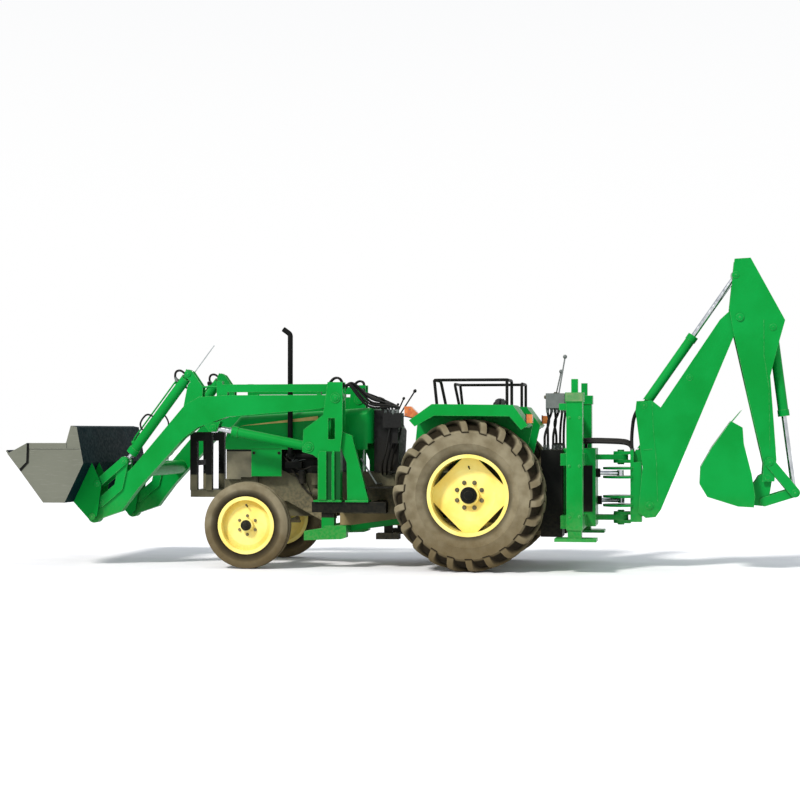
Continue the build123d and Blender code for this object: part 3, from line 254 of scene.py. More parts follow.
GREEN, GREEN_2 = srgb(2, 126, 45), srgb(6, 138, 56)
# the edge colours below are painted highlights along edges, mixed with wear
MATERIALS = {
    "green_paint": surface("green_paint", GREEN, GREEN_2, rough=(0.3, 0.44), coat=0.03,
                           dust=(0.16, 0.75, 0.06), shine=0.06, edge=srgb(96, 168, 104)),
    "bucket_grey": bucket_steel(GREEN),
    "black_paint": surface("black_paint", srgb(13, 15, 14), srgb(24, 25, 23), rough=(0.4, 0.6),
                           dust=(0.05, 0.9, 0.06), shine=0.06, edge=srgb(70, 68, 58)),
    "cast_grey": surface("cast_grey", srgb(68, 68, 56), srgb(96, 94, 74), rough=(0.6, 0.85),
                         bump=(80.0, 0.3), dust=(0.7, 1.0, 0.3), patch=6.0),
    "tyre_rubber": rubber(),
    "yellow_paint": surface("yellow_paint", srgb(240, 226, 134), srgb(234, 206, 98), rough=(0.28, 0.42),
                            coat=0.15, dust=(0.14, 0.7, 0.0), patch=4.0, shine=0.3),
    "rod_chrome": surface("rod_chrome", srgb(205, 208, 210), srgb(176, 180, 184), rough=(0.12, 0.28),
                          metallic=1.0, bump=(300.0, 0.02), patch=12.0),
    "seat_black": surface("seat_black", srgb(16, 17, 18), srgb(26, 26, 26), rough=(0.45, 0.62),
                          bump=(420.0, 0.35), shine=0.3),
    "moulded_black": surface("moulded_black", srgb(12, 13, 13), srgb(22, 22, 21), rough=(0.5, 0.7),
                             bump=(260.0, 0.25), dust=(0.1, 1.4, 0.1), shine=0.2),
    "lamp_orange": surface("lamp_orange", srgb(168, 82, 30), srgb(196, 116, 56), rough=(0.15, 0.25),
                           bump=(90.0, 0.2), coat=0.3, patch=20.0, shine=0.4),
    "valve_grey": surface("valve_grey", srgb(114, 119, 117), srgb(98, 104, 102), rough=(0.4, 0.6),
                          metallic=0.2, dust=(0.0, 0.5, 0.15), patch=9.0),
}
STRIPE = surface("stripe_paint", srgb(204, 178, 112), srgb(178, 152, 92), rough=(0.4, 0.6), patch=6.0)
WORN = surface("worn_paint", srgb(122, 138, 98), srgb(72, 128, 76), rough=(0.5, 0.7), patch=9.0)
# painted shade: deep green for the floors of the channels on the loader's posts
CHANNEL_PAINTED_SHADE = surface("channel_painted_shade", srgb(2, 60, 22), srgb(6, 74, 30), rough=(0.5, 0.7), patch=4.0)

SPLIT_EDGE = 0.004  # half the width over which one finish passes into the next
# node, finish, its two colours below a height, slot of the finish above it, that height in metres:
# green braces under the loader's black rails, soil on the lower parts of the guard, grille and engine, and
# painted light on the gearbox's lower part
SPLIT = (
    ("loader_subframe", "rails_and_braces", (GREEN, srgb(34, 110, 52)), "black_paint", 0.48),
    ("front_guard", "guard_soil", (srgb(84, 82, 66), srgb(112, 106, 84)), "black_paint", 0.87),
    ("grille", "grille_soil", (srgb(92, 90, 76), srgb(134, 128, 106)), "black_paint", 1.10),
    ("engine_block", "engine_soil", (srgb(66, 64, 52), srgb(98, 94, 72)), "black_paint", 0.89),
    # painted light: a pale tan lit colour on the gearbox below half a metre
    ("gearbox_housing", "gearbox_painted_light", (srgb(150, 134, 96), srgb(118, 106, 76)), "cast_grey", 0.50),
)


def below_height(name, low, high, height):
    """A copy of a slot's finish that has two other colours below a height."""
    material = MATERIALS[high].copy()
    material.name = name
    tree, socket, upper = colour_of(material)
    patches = span(tree, noise(tree, on_object(tree), 4.0, 5.0), 0.3, 0.75)
    lower = blend_colour(tree, patches, *low)
    level = span(tree, part_of(tree, "Object", "Z"), height - SPLIT_EDGE, height + SPLIT_EDGE)
    tree.links.new(blend_colour(tree, level, lower, upper), socket)
    return material


def dress_frame():
    """Gives each CAD node the finish of its slot, or the one that is split at a height."""
    finishes = {row["node"]: MATERIALS[row["material_slot"]] for row in frame["record"]["subparts"]}
    for node, name, low, high, height in SPLIT:
        finishes[node] = below_height(name, low, high, height)
    for node, finish in finishes.items():
        for place in frame["nodes"][node].material_slots:
            place.material = finish


# Meshes, all in the frame's metres
def rod(mesh, start, end, radius, sides=16, end_radius=None):
    """A round bar between two points, closed at both ends."""
    turn = (end - start).to_track_quat("Z", "Y").to_matrix().to_4x4()
    place = Matrix.Translation((start + end) / 2) @ turn
    bmesh.ops.create_cone(mesh, cap_ends=True, segments=sides, radius1=radius,
                          radius2=radius if end_radius is None else end_radius,
                          depth=(end - start).length, matrix=place)


def block(mesh, low, high):
    """A box between its corners."""
    size = high - low
    place = Matrix.Translation((low + high) / 2) @ Matrix.Diagonal((*size, 1.0))
    bmesh.ops.create_cube(mesh, size=1.0, matrix=place)


def circle(mesh, centre, across, up, radius, sides):
    """A ring of corners about a centre."""
    corners = []
    for k in range(sides):
        turn = TURN * k / sides
        corners.append(mesh.verts.new(centre + radius * (math.cos(turn) * across + math.sin(turn) * up)))
    return corners


def skin(mesh, rings, capped=True):
    """Faces from ring to ring of corners, and over both ends if capped."""
    count = len(rings[0])
    for first, second in zip(rings, rings[1:]):
        for k in range(count):
            mesh.faces.new((first[k], first[(k + 1) % count], second[(k + 1) % count], second[k]))
    if capped:
        mesh.faces.new(rings[0])
        mesh.faces.new(rings[-1])


def tube(mesh, path, radius, sides=12):
    """A round tube along a path's points, closed at both ends."""
    rings = []
    normal = None
    for i, point in enumerate(path):
        ahead = (path[min(i + 1, len(path) - 1)] - path[max(i - 1, 0)]).normalized()
        if normal is None:
            normal = ahead.orthogonal().normalized()
        normal = (normal - ahead * normal.dot(ahead)).normalized()
        rings.append(circle(mesh, point, normal, ahead.cross(normal), radius, sides))
    skin(mesh, rings)


def smooth_path(points, steps=12):
    """Points along the smooth curve that a short list of control points gives."""
    curve = bpy.data.curves.new("route", "CURVE")
    curve.dimensions = "3D"
    curve.resolution_u = steps
    spline = curve.splines.new("NURBS")
    spline.points.add(len(points) - 1)
    for knot, point in zip(spline.points, points):
        knot.co = (*point, 1.0)
    spline.order_u = 3
    spline.use_endpoint_u = True
    holder = bpy.data.objects.new("route", curve)
    line = bpy.data.meshes.new_from_object(holder)
    path = [v.co.copy() for v in line.vertices]
    bpy.data.objects.remove(holder)
    bpy.data.curves.remove(curve)
    bpy.data.meshes.remove(line)
    return path


def revolve(mesh, profile, centre, steps):
    """A closed ring about a crossways axis, from (radius, y) points round its section."""
    rings = []
    for i in range(steps):
        along, up = math.cos(TURN * i / steps), math.sin(TURN * i / steps)
        rings.append([mesh.verts.new(centre + Vector((r * along, y, r * up))) for r, y in profile])
    skin(mesh, rings + rings[:1], capped=False)


def lathe(mesh, centre, axis, profile, steps=32):
    """A closed turned form along an axis, from (distance along it, radius) points."""
    axis = axis.normalized()
    across = axis.orthogonal().normalized()
    up = axis.cross(across)
    skin(mesh, [circle(mesh, centre + axis * along, across, up, radius, steps) for along, radius in profile])


def plate(mesh, outline, y, thickness):
    """A flat plate from an (x, z) outline in millimetres, on a face at y, as thick as said away from it."""
    skin(mesh, [[mesh.verts.new(at(px, depth, pz)) for px, pz in outline] for depth in (y, y + thickness)])


def bolt(mesh, place, axis, size, height):
    """A hexagon head on a washer; size is half its width."""
    axis = axis.normalized()
    rod(mesh, place - axis * 0.001, place + axis * height * 0.25, size * 1.5, 20)
    rod(mesh, place + axis * height * 0.2, place + axis * height, size * 1.12, 6, size * 1.06)


def placed(name, data):
    """A new object in the scene."""
    thing = bpy.data.objects.new(name, data)
    bpy.context.scene.collection.objects.link(thing)
    return thing


def made(name, mesh, slot, body, sharp=40.0, finish=None):
    """Turns mesh code into a piece that rides on a body and has a slot's finish, or one near it."""
    bmesh.ops.recalc_face_normals(mesh, faces=mesh.faces)
    data = bpy.data.meshes.new(name)
    mesh.to_mesh(data)
    mesh.free()
    data.shade_smooth()
    data.set_sharp_from_angle(angle=math.radians(sharp))
    data.materials.append(finish or MATERIALS[slot])
    piece = placed(name, data)
    if body:
        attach(piece, body)
    return piece


# Small pieces, gathered into one mesh for each name, slot and body
GATHERED = {}


def small(name, slot, body="chassis"):
    """The mesh that small pieces of one kind are added to."""
    return GATHERED.setdefault((name, slot, body), bmesh.new())


def gather():
    """Makes a piece of each of these meshes."""
    for (name, slot, body), mesh in GATHERED.items():
        made(name, mesh, slot, body)


# Tyres
def half_size(node, axis):
    """Half of a CAD node's box along an axis."""
    low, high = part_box(node)
    return (high[axis] - low[axis]) / 2


REAR_TIP, REAR_HALF_W = half_size("rear_tyre_left", 2), half_size("rear_tyre_left", 1)
FRONT_TIP, FRONT_HALF_W = half_size("front_tyre_left", 2), half_size("front_tyre_left", 1)

REAR_STEPS, FRONT_STEPS = 132, 96  # round each tyre
LUG_H = 0.038
LUGS = 22  # on each half of the tread
LUG_SWEEP = 0.25  # radians from the middle of the tread to its shoulder
LUG_TOP_HALF, LUG_FOOT_HALF = 0.024, 0.034
LUG_EASE = 0.003  # half of what the edge of a lug's top is eased by
TREAD_FLOOR = REAR_TIP - LUG_H
# share of the way to the shoulder, share of the half width, and how far the lug's top lies in from the
# tip and its foot from the floor of the tread
LUG_STATIONS = (
    (-0.05, -0.06, 0.002, 0.008), (0.2, 0.22, 0.0, 0.008), (0.5, 0.52, 0.002, 0.010),
    (0.8, 0.80, 0.008, 0.034), (0.93, 0.94, 0.022, 0.064), (1.0, 1.0, 0.052, 0.078),
    (1.06, 1.005, 0.104, 0.090))
# radius, share of the half width
REAR_SECTION = (
    (0.366, 0.70), (0.386, 0.76), (0.410, 0.80), (0.425, 0.865), (0.470, 0.945), (0.478, 0.975),
    (0.490, 0.965), (0.535, 0.995), (0.574, 0.985), (0.582, 0.995), (0.590, 0.965), (0.612, 0.90),
    (0.640, 0.80), (TREAD_FLOOR - 0.006, 0.64), (TREAD_FLOOR, 0.40), (TREAD_FLOOR + 0.002, 0.0))
REAR_BEAD_R, REAR_BEAD_FADE, REAR_BEAD = 0.395, 0.05, 0.45  # where the ring of painted shade by the rim ends
REAR_SOIL_R, REAR_SOIL_FADE = 0.612, 0.022  # where the soil of the side wall ends and the painted shade of the tread's floor begins
FRONT_SECTION = (
    (0.256, 0.70), (0.272, 0.76), (0.284, 0.84), (0.315, 0.96), (0.335, 1.0), (0.342, 0.985),
    (0.350, 1.0), (0.376, 0.95), (0.392, 0.86), (FRONT_TIP - 0.007, 0.80), (FRONT_TIP - 0.004, 0.56),
    (FRONT_TIP - 0.020, 0.50), (FRONT_TIP - 0.021, 0.30), (FRONT_TIP - 0.002, 0.22), (FRONT_TIP, 0.0))
FRONT_GROOVES = (11, 12)  # points of that section on a groove's floor, which take the painted shade
# most of the soil that the front tyre's face takes, and how much more of it each point out from the rim
# takes; the rest is painted shade, darkest by the rim
FRONT_SOIL, FRONT_SOIL_STEP = 0.8, 0.15


def clipped(value):
    """A value kept between 0 and 1."""
    return min(1.0, max(0.0, value))


def lug(mesh, raised, centre, row, start):
    """One bar from the middle of the tread over its shoulder, on the row at the left or the right."""
    rings = []
    for part, y_share, drop, sink in LUG_STATIONS:
        outer, inner = REAR_TIP - drop, TREAD_FLOOR - sink
        # a lug's foot takes the painted shade, its top the soil
        corners = [(inner, -LUG_FOOT_HALF, 0.0), (outer - 0.005, -LUG_TOP_HALF - LUG_EASE, 0.8),
                   (outer, -LUG_TOP_HALF + LUG_EASE, 1.0)]
        corners += [(r, -w, h) for r, w, h in reversed(corners)]
        ring = []
        for radius, width, height in corners:
            turn = start + LUG_SWEEP * part + width / radius
            vert = mesh.verts.new(centre + Vector((
                radius * math.cos(turn), row * y_share * REAR_HALF_W, radius * math.sin(turn))))
            vert[raised] = height
            ring.append(vert)
        rings.append(ring)
    skin(mesh, rings)


def rear_tyre(side, word):
    """Driving tyre: a casing with two rows of bars that meet in a V and run down its shoulders."""
    centre = Vector((REAR_HUB.x, side * REAR_HUB.y, REAR_HUB.z))
    mesh = bmesh.new()
    raised = mesh.verts.layers.float.new(RAISED)
    half = [(r, REAR_HALF_W * part) for r, part in REAR_SECTION]
    revolve(mesh, half + [(r, -y) for r, y in reversed(half[:-1])], centre, REAR_STEPS)
    # painted shade: a darker ring by the rim, and on the tread's floor between the lugs
    for vert in mesh.verts:
        radius = math.hypot(vert.co.x - centre.x, vert.co.z - centre.z)
        bead = REAR_BEAD + (1 - REAR_BEAD) * clipped((radius - REAR_BEAD_R) / REAR_BEAD_FADE)
        vert[raised] = min(bead, max(0.0, (REAR_SOIL_R - radius) / REAR_SOIL_FADE))
    for row, offset in ((1, 0.5), (-1, 0.0)):
        for i in range(LUGS):
            lug(mesh, raised, centre, row, TURN * (i + offset) / LUGS)
    piece = made("rear_tyre_%s_lugged" % word, mesh, "tyre_rubber", "rear_wheel_" + word, sharp=28.0)
    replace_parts(piece, "rear_tyre_" + word)


def front_tyre(side, word):
    """Steering tyre with three ribs round its tread."""
    centre = Vector((FRONT_HUB.x, side * FRONT_HUB.y, FRONT_HUB.z))
    mesh = bmesh.new()
    raised = mesh.verts.layers.float.new(RAISED)
    half = [(r, FRONT_HALF_W * part) for r, part in FRONT_SECTION]
    section = half + [(r, -y) for r, y in reversed(half[:-1])]
    revolve(mesh, section, centre, FRONT_STEPS)
    for number, vert in enumerate(mesh.verts):
        place = number % len(section)
        place = min(place, len(section) - 1 - place)
        # painted shade in the grooves and nearest the rim, soil further out
        vert[raised] = 0.0 if place in FRONT_GROOVES else min(FRONT_SOIL, FRONT_SOIL_STEP * place)
    piece = made("front_tyre_%s_ribbed" % word, mesh, "tyre_rubber", "front_wheel_" + word, sharp=50.0)
    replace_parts(piece, "front_tyre_" + word)


def tyres():
    """All four tyres."""
    for side, word in SIDES:
        rear_tyre(side, word)
        front_tyre(side, word)


# wheel, its middle, face of the disc and end of the hub out from there, radius of the cap, and the
# bolts' number, circle and size
WHEELS = (
    ("rear", REAR_HUB, 0.037, 0.090, 0.078, 8, 0.124, 0.014),
    ("front", FRONT_HUB, 0.017, 0.070, 0.050, 6, 0.088, 0.010),
)


def wheel_trim():
    """Hub caps, wheel bolts and tyre valves."""
    for name, hub, disc, end, cap_r, bolts, bolt_circle, size in WHEELS:
        for side, word in SIDES:
            body = name + "_wheel_" + word
            out = Y_AXIS * side
            centre = Vector((hub.x, side * hub.y, hub.z))
            lathe(small(body + "_cap", "black_paint", body), centre + out * end, out,
                  [(-0.002, cap_r), (0.010, cap_r), (0.016, cap_r * 0.93), (0.020, cap_r * 0.55),
                   (0.034, cap_r * 0.5), (0.038, cap_r * 0.3)])
            for k in range(bolts):
                turn = TURN * (k + 0.5) / bolts
                spot = Vector((bolt_circle * math.cos(turn), side * disc, bolt_circle * math.sin(turn)))
                bolt(small(body + "_bolts", "cast_grey", body), centre + spot, out, size, 0.020)
            stem = centre + Vector((0.0, side * (disc + 0.01), bolt_circle * 2.0))
            lathe(small(body + "_valve", "moulded_black", body), stem, Vector((0.0, side, 0.45)),
                  [(-0.03, 0.006), (0.02, 0.006), (0.024, 0.009), (0.045, 0.008)], 12)


# pin: x, z, y of the face it stands on, head radius, head height, body
PINS = (
    (1282, 1612, 642, 30, 8, "chassis"),
    (1537, 1147, 642, 30, 8, "chassis"),
    (2733, 1846, 606, 30, 9, "loader_arms"),
    (2480, 1330, 610, 34, 8, "loader_arms"),
    (3597, 610, 628, 27, 3, "tilt_rocker"),
    (3366, 1008, 648, 26, 3, "tilt_rocker"),
    (3671, 473, 664, 32, 9, "loader_bucket"),
    (3620, 794, 664, 30, 8, "loader_bucket"),
    (-1635, 597, 145, 38, 9, "swing_post"),
    (-2010, 1800, 145, 30, 3, "boom"),
    (-1585, 1540, 145, 30, 3, "boom"),
    (-2471, 2360, 177, 36, 8, "dipper"),
    (-2435, 2756, 169, 32, 7, "dipper"),
    (-2774, 2263, 169, 32, 7, "dipper"),
    (-2738, 1008, 193, 30, 6, "dipper"),
    (-2966, 729, 191, 30, 6, "hoe_guide"),
    (-2690, 640, 121, 28, 3, "hoe_bucket"),
)


def pins():
    """Heads of the pivot pins, each with its grease nipple."""
    for x, z, y, head_r, head_h, body in PINS:
        radius, height = head_r * MM, head_h * MM
        heads = small(body + "_pin_heads", "green_paint", body)
        for side, _ in SIDES:
            out = Y_AXIS * side
            centre = at(x, side * y, z)
            lathe(heads, centre, out, [(-0.001, radius), (height * 0.7, radius), (height, radius * 0.85)], 24)
            lathe(heads, centre + out * height, out,
                  [(-0.001, 0.007), (0.002, 0.007), (0.0025, 0.004), (0.004, 0.004)], 10)


# Hoses
def hose(name, points, radius, body=None, across=None, slot="moulded_black"):
    """A hose along millimetre points; across holds two bodies and two points near where it passes from one to
    the other, but these are not read: when across is given the hose's place is only baked into its mesh.
    """
    mesh = bmesh.new()
    tube(mesh, smooth_path([at(*p) for p in points]), radius * MM, 10)
    piece = made(name, mesh, slot, body)
    if across:
        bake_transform(piece)


def ferrule(body, place, direction, radius, length=34):
    """A crimped hose end with its union nut."""
    mesh = small(body + "_hose_ends", "valve_grey", body)
    start = at(*place)
    way = Vector(direction).normalized()
    rod(mesh, start, start + way * length * MM, radius * 1.35 * MM, 14)
    rod(mesh, start - way * 0.012, start + way * 0.006, radius * 1.7 * MM, 6)


ARM_Y = 560
PIPE_Z = 1721  # height of the pipes along the arm
ARM_HOSE_R = 11
TILT_BASE_X, TILT_BASE_Z = 2733, 1846  # pin at the base of the tilt cylinders
TILT_WAY = Vector((0.603, 0.0, -0.798))  # along the tilt cylinders, from base to rod
TILT_OUT = Vector((-TILT_WAY.z, 0, TILT_WAY.x))
PORT_OUT, PIPE_OUT = 46, 62  # from a tilt cylinder's middle to its ports and its pipe
# hose: number, distance from the arm's middle, distance from the cylinder's base pin to its port
TILT_HOSES = ((1, -17, 150), (2, 17, 860))


def beside_tilt(along, out):
    """An (x, z) place along a tilt cylinder from its base pin, and out over it, in millimetres."""
    return (TILT_BASE_X + along * TILT_WAY.x - out * TILT_WAY.z,
            TILT_BASE_Z + along * TILT_WAY.z + out * TILT_WAY.x)


def tilt_lines(word, number, y, port_x, port_z):
    """Hose from the arm's pipe to a tilt cylinder, straight to its base port or to a pipe to its far one."""
    tail = "_%s_%d" % (word, number)
    if number == 1:
        route = [(2590, y, PIPE_Z), (2680, y, 1730), (2760, y, 1700), (2815, y, 1770),
                 (port_x + 30, y, port_z + 60), (port_x, y, port_z)]
        hose("tilt_hose" + tail, route, ARM_HOSE_R, across=(
            "loader_arms", "tilt_barrel", (2660, y, 1725), (port_x, y, port_z)))
        return
    pipe = [beside_tilt(along, PIPE_OUT) for along in (120, 420, 700, 840)] + [(port_x, port_z)]
    hose("tilt_pipe" + tail, [(x, y, z) for x, z in pipe], 8, body="tilt_barrel", slot="green_paint")
    end_x, end_z = pipe[0]
    route = [(2590, y, PIPE_Z), (2690, y, 1740), (2790, y, 1880), (2860, y, 1880),
             (end_x + 20, y, end_z + 30), (end_x, y, end_z)]
    hose("tilt_hose" + tail, route, ARM_HOSE_R, across=(
        "loader_arms", "tilt_barrel", (2660, y, 1730), (end_x, y, end_z)))
    ferrule("tilt_barrel", (end_x, y, end_z), (0.3, 0, 0.6), ARM_HOSE_R, 26)


def loader_hoses():
    """Hoses over the arm's pivot and from the arm's pipes to the tilt cylinders, and the level indicator."""
    for side, word in SIDES:
        for number, offset, near in TILT_HOSES:
            y = side * (ARM_Y + offset)
            post_end = (1230, side * 470, 1690)
            route = [post_end, (1228, y, 1780), (1290, y, 1812), (1350, y, 1760), (1362, y, PIPE_Z)]
            hose("pivot_hose_%s_%d" % (word, number), route, ARM_HOSE_R, across=(
                "chassis", "loader_arms", (1215, y, 1700), (1345, y, 1740)))
            ferrule("loader_arms", (1352, y, PIPE_Z), (1, 0, 0), ARM_HOSE_R)
            ferrule("chassis", post_end, (0, 0, 1), ARM_HOSE_R)
            port_x, port_z = beside_tilt(near, PORT_OUT)
            tilt_lines(word, number, y, port_x, port_z)
            lathe(small("tilt_barrel_ports", "green_paint", "tilt_barrel"), at(port_x, y, port_z), TILT_OUT,
                  [(-0.02, 0.020), (0.004, 0.020), (0.006, 0.014), (0.016, 0.014)], 16)
        loop = [beside_tilt(*p) for p in ((540, 44), (545, 95), (610, 110), (690, 95), (705, 44))]
        hose("tilt_loop_" + word, [(x, side * (ARM_Y + 30), z) for x, z in loop], 9, body="tilt_barrel")
        drop = [beside_tilt(*p) for p in ((470, -44), (480, -85), (520, -130), (555, -150))]
        hose("tilt_drop_" + word, [(x, side * (ARM_Y - 20), z) for x, z in drop], 8, body="tilt_barrel")
    rod(small("level_indicator", "rod_chrome", "tilt_rod"),
        at(3330, ARM_Y - 66, 1030), at(2504, ARM_Y - 66, 2123), 0.005, 10)
    rod(small("level_indicator_clip", "black_paint", "tilt_rod"),
        at(3330, ARM_Y - 72, 1030), at(3330, ARM_Y - 24, 1030), 0.010, 12)
    guide_x, guide_z = beside_tilt(60, -2)
    rod(small("level_indicator_guide", "black_paint", "tilt_barrel"),
        at(guide_x, ARM_Y - 46, guide_z), at(guide_x, ARM_Y - 60, guide_z), 0.009, 12)


# hose from the loader's left post to its valve: start y, end y, sag
POST_HOSES = ((436, 300, 40), (458, 280, 10), (480, 330, 70), (502, 315, 100))
# lever: foot, knob place, knob radius
LEVERS = (
    ((720, 290, 1460), (575, 300, 1680), 17),
    ((760, 250, 1460), (690, 262, 1610), 14),
    ((560, 60, 890), (520, 70, 1190), 20),
    ((560, -60, 890), (500, -75, 1150), 20),
    ((860, -120, 1480), (830, -210, 1560), 13),
)
KNOB = ((-1.1, 0.4), (-0.5, 0.9), (0.2, 1.0), (0.9, 0.6), (1.1, 0.2))  # along and out, in knob radii
DIP_ROD = ((1070, 455, 1038), (920, 455, 799), (920, 200, 790))


def valve_and_hoses():
    """The loader's valve at the left of the console, its hoses, the hand levers and a dip rod."""
    valve = small("loader_valve", "moulded_black")
    block(valve, at(700, 200, 1330), at(880, 345, 1470))
    block(valve, at(740, 200, 1180), at(840, 300, 1330))
    for number, (start_y, end_y, sag) in enumerate(POST_HOSES):
        x = 880 - 40 * number
        route = [(1225 + 6 * number, start_y, 1700), (1190, start_y, 1770), (1110, start_y - 30, 1745 - sag),
                 (1000, (start_y + end_y) / 2, 1610 - sag), (x + 40, end_y, 1580 - sag / 2),
                 (x - 10, end_y, 1540), (x - 20, end_y, 1466)]
        hose("valve_hose_%d" % (number + 1), route, ARM_HOSE_R, body="chassis")
        ferrule("chassis", (x - 20, end_y, 1470), (0, 0, 1), ARM_HOSE_R)
    for number in range(3):
        y = 235 + 42 * number
        route = [(720 + 45 * number, y, 1335), (730 + 50 * number, y + 10, 1240),
                 (790 + 30 * number, y + 20, 1100), (820 + 40 * number, y - 10, 960),
                 (830 + 40 * number, 185, 880)]
        hose("drain_hose_%d" % (number + 1), route, 10, body="chassis")
    levers, knobs = small("hand_levers", "black_paint"), small("hand_knobs", "moulded_black")
    for foot, top, radius in LEVERS:
        start, end = at(*foot), at(*top)
        rod(levers, start, end, 0.007, 12)
        lathe(knobs, end, end - start, [(along * radius * MM, out * radius * MM) for along, out in KNOB], 20)
    for start, end in zip(DIP_ROD, DIP_ROD[1:]):
        rod(small("dip_rod", "valve_grey"), at(*start), at(*end), 0.008, 12)


# Tractor
DASH_SLOPE = Vector((-200, 0, 100)).normalized()
GAUGES = ((-95, 42), (0, 58), (95, 42))  # y, radius
COLUMN_WAY = Vector((-0.39, 0, 0.92))  # up the steering column


def dash():
    """Instrument panel, pedals and the steering wheel's cap."""
    panel, bezels = small("instrument_panel", "moulded_black"), small("instrument_bezels", "rod_chrome")
    for y, radius in GAUGES:
        centre = at(790, y, 1400)
        lathe(bezels, centre, DASH_SLOPE, [(-0.002, radius * MM), (0.012, radius * MM),
                                           (0.014, radius * 0.9 * MM), (0.008, radius * 0.86 * MM)], 36)
        rod(panel, centre + DASH_SLOPE * 0.004, centre + DASH_SLOPE * 0.010, radius * 0.85 * MM, 32)
    for number in range(6):
        lathe(bezels, at(755, -100 + 40 * number, 1330), DASH_SLOPE,
              [(-0.002, 0.011), (0.008, 0.011), (0.010, 0.007)], 16)
    pedals = small("pedals", "black_paint")
    for y in (260, -230, -310):
        tube(pedals, smooth_path([at(820, y, 900), at(770, y, 905), at(700, y, 880)]), 0.011, 10)
        block(pedals, at(672, y - 38, 868), at(704, y + 38, 876))
        rod(pedals, at(820, math.copysign(180, y), 900), at(820, y + math.copysign(12, y), 900), 0.014, 12)
    column_top = at(962, 0, 1597) + COLUMN_WAY.normalized() * 0.016
    lathe(small("steering_cap", "moulded_black"), column_top, COLUMN_WAY,
          [(0.0, 0.040), (0.008, 0.038), (0.013, 0.022)], 28)


# inner face and width of the lamps' bases, and outer face of the lamps
LAMP_BASE_Y, LAMP_BASE_W, LAMP_FACE_Y = 776, 88, 860
LAMP_BASES = (
    ((440, 1452), (500, 1412), (586, 1432), (586, 1440), (504, 1422), (448, 1460)),
    ((-546, 1364), (-538, 1364), (-538, 1456), (-546, 1456)),
)


def lamp_trim():
    """Dark bases and screws of the fender lamps."""
    for side, _ in SIDES:
        for outline in LAMP_BASES:
            plate(small("lamp_bases", "moulded_black"), outline,
                  side * LAMP_BASE_Y, side * LAMP_BASE_W)
        screws = small("lamp_screws", "valve_grey")
        for x, z in ((530, 1500), (565, 1455)):
            bolt(screws, at(x, side * LAMP_FACE_Y, z), Y_AXIS * side, 0.004, 0.004)


# name, radius, route
ENGINE_HOSES = (
    ("cable_low", 9, ((1420, 238, 735), (1520, 262, 700), (1640, 258, 690), (1740, 244, 860),
                      (1800, 240, 930))),
    ("cable_high", 7, ((1960, 250, 1060), (1900, 262, 1090), (1830, 268, 1000), (1700, 256, 900),
                       (1600, 262, 955))),
    ("radiator_hose", 28, ((2040, 60, 1215), (2060, 60, 1262), (2110, 60, 1270), (2140, 60, 1268))),
)


def engine_trim():
    """Injector lines, cables, radiator hose and fuel filter at the open sides of the engine."""
    for side, word in SIDES:
        for number in range(4):
            x = 1450 + 120 * number
            route = [(x, side * 205, 1085), (x + 10, side * 236, 1098), (x + 60, side * 240, 1060),
                     (1780, side * 242, 1000 + 12 * number), (1800, side * 236, 985)]
            hose("injector_line_%s_%d" % (word, number + 1), route, 4, body="chassis", slot="valve_grey")
    for name, radius, route in ENGINE_HOSES:
        hose(name, route, radius, body="chassis")
    lathe(small("fuel_filter", "moulded_black"), at(1690, 250, 790), Z_AXIS,
          [(0.0, 0.036), (0.09, 0.036), (0.095, 0.042), (0.12, 0.042), (0.124, 0.03)], 24)
    block(small("filter_bracket", "valve_grey"), at(1666, 230, 890), at(1714, 262, 916))


POST_FACE_Y, POST_LOW, POST_HIGH = 629.0, 652, 1108
POST_RIBS = ((1364, 1440), (1286, 1312))  # rear and front edge of each rib
POST_CHANNELS = ((1312, 1364), (1232, 1286))  # and of each channel beside them


def post_trim():
    """Ribs on the lower part of the loader's posts, and painted shade on the floors of the channels between
    them.
    """
    for side, word in SIDES:
        face = side * POST_FACE_Y
        for rear, front in POST_RIBS:
            plate(small("post_ribs", "green_paint"),
                  [(rear, POST_LOW), (front, POST_LOW), (front, POST_HIGH - 28), (front - 14, POST_HIGH),
                   (rear, POST_HIGH)], face, side * 24.0)
        floor = bmesh.new()
        for rear, front in POST_CHANNELS:
            plate(floor, [(rear, POST_LOW), (front, POST_LOW), (front, POST_HIGH - 2), (rear, POST_HIGH - 2)],
                  face, side * 2.0)
        made("post_channel_" + word, floor, "green_paint", "chassis", finish=CHANNEL_PAINTED_SHADE)


# inner face and width of the braces' doublers, of the foot steps and of their hangers
DOUBLER_Y, DOUBLER_W = 499.0, 104.0
STEP_Y, STEP_W = 345.0, 125.0
HANGER_Y, HANGER_W = 343.0, 39.0
BRACE_DOUBLER = ((1590, 265), (1590, 352), (1405, 383), (1390, 403), (1228, 409), (1183, 404), (1183, 294),
                 (1228, 279), (1405, 272))


def frame_trim():
    """Doublers round the front ends of the loader's braces, and the foot steps that hang behind them."""
    for side, _ in SIDES:
        plate(small("brace_doublers", "green_paint"), BRACE_DOUBLER, side * DOUBLER_Y, side * DOUBLER_W)
        steps = small("foot_steps", "black_paint")
        plate(steps, [(705, 274), (922, 272), (922, 330), (705, 332)], side * STEP_Y, side * STEP_W)
        plate(steps, [(780, 325), (860, 325), (860, 405), (780, 405)], side * HANGER_Y, side * HANGER_W)


HOOD_FACE_Y = 319.5


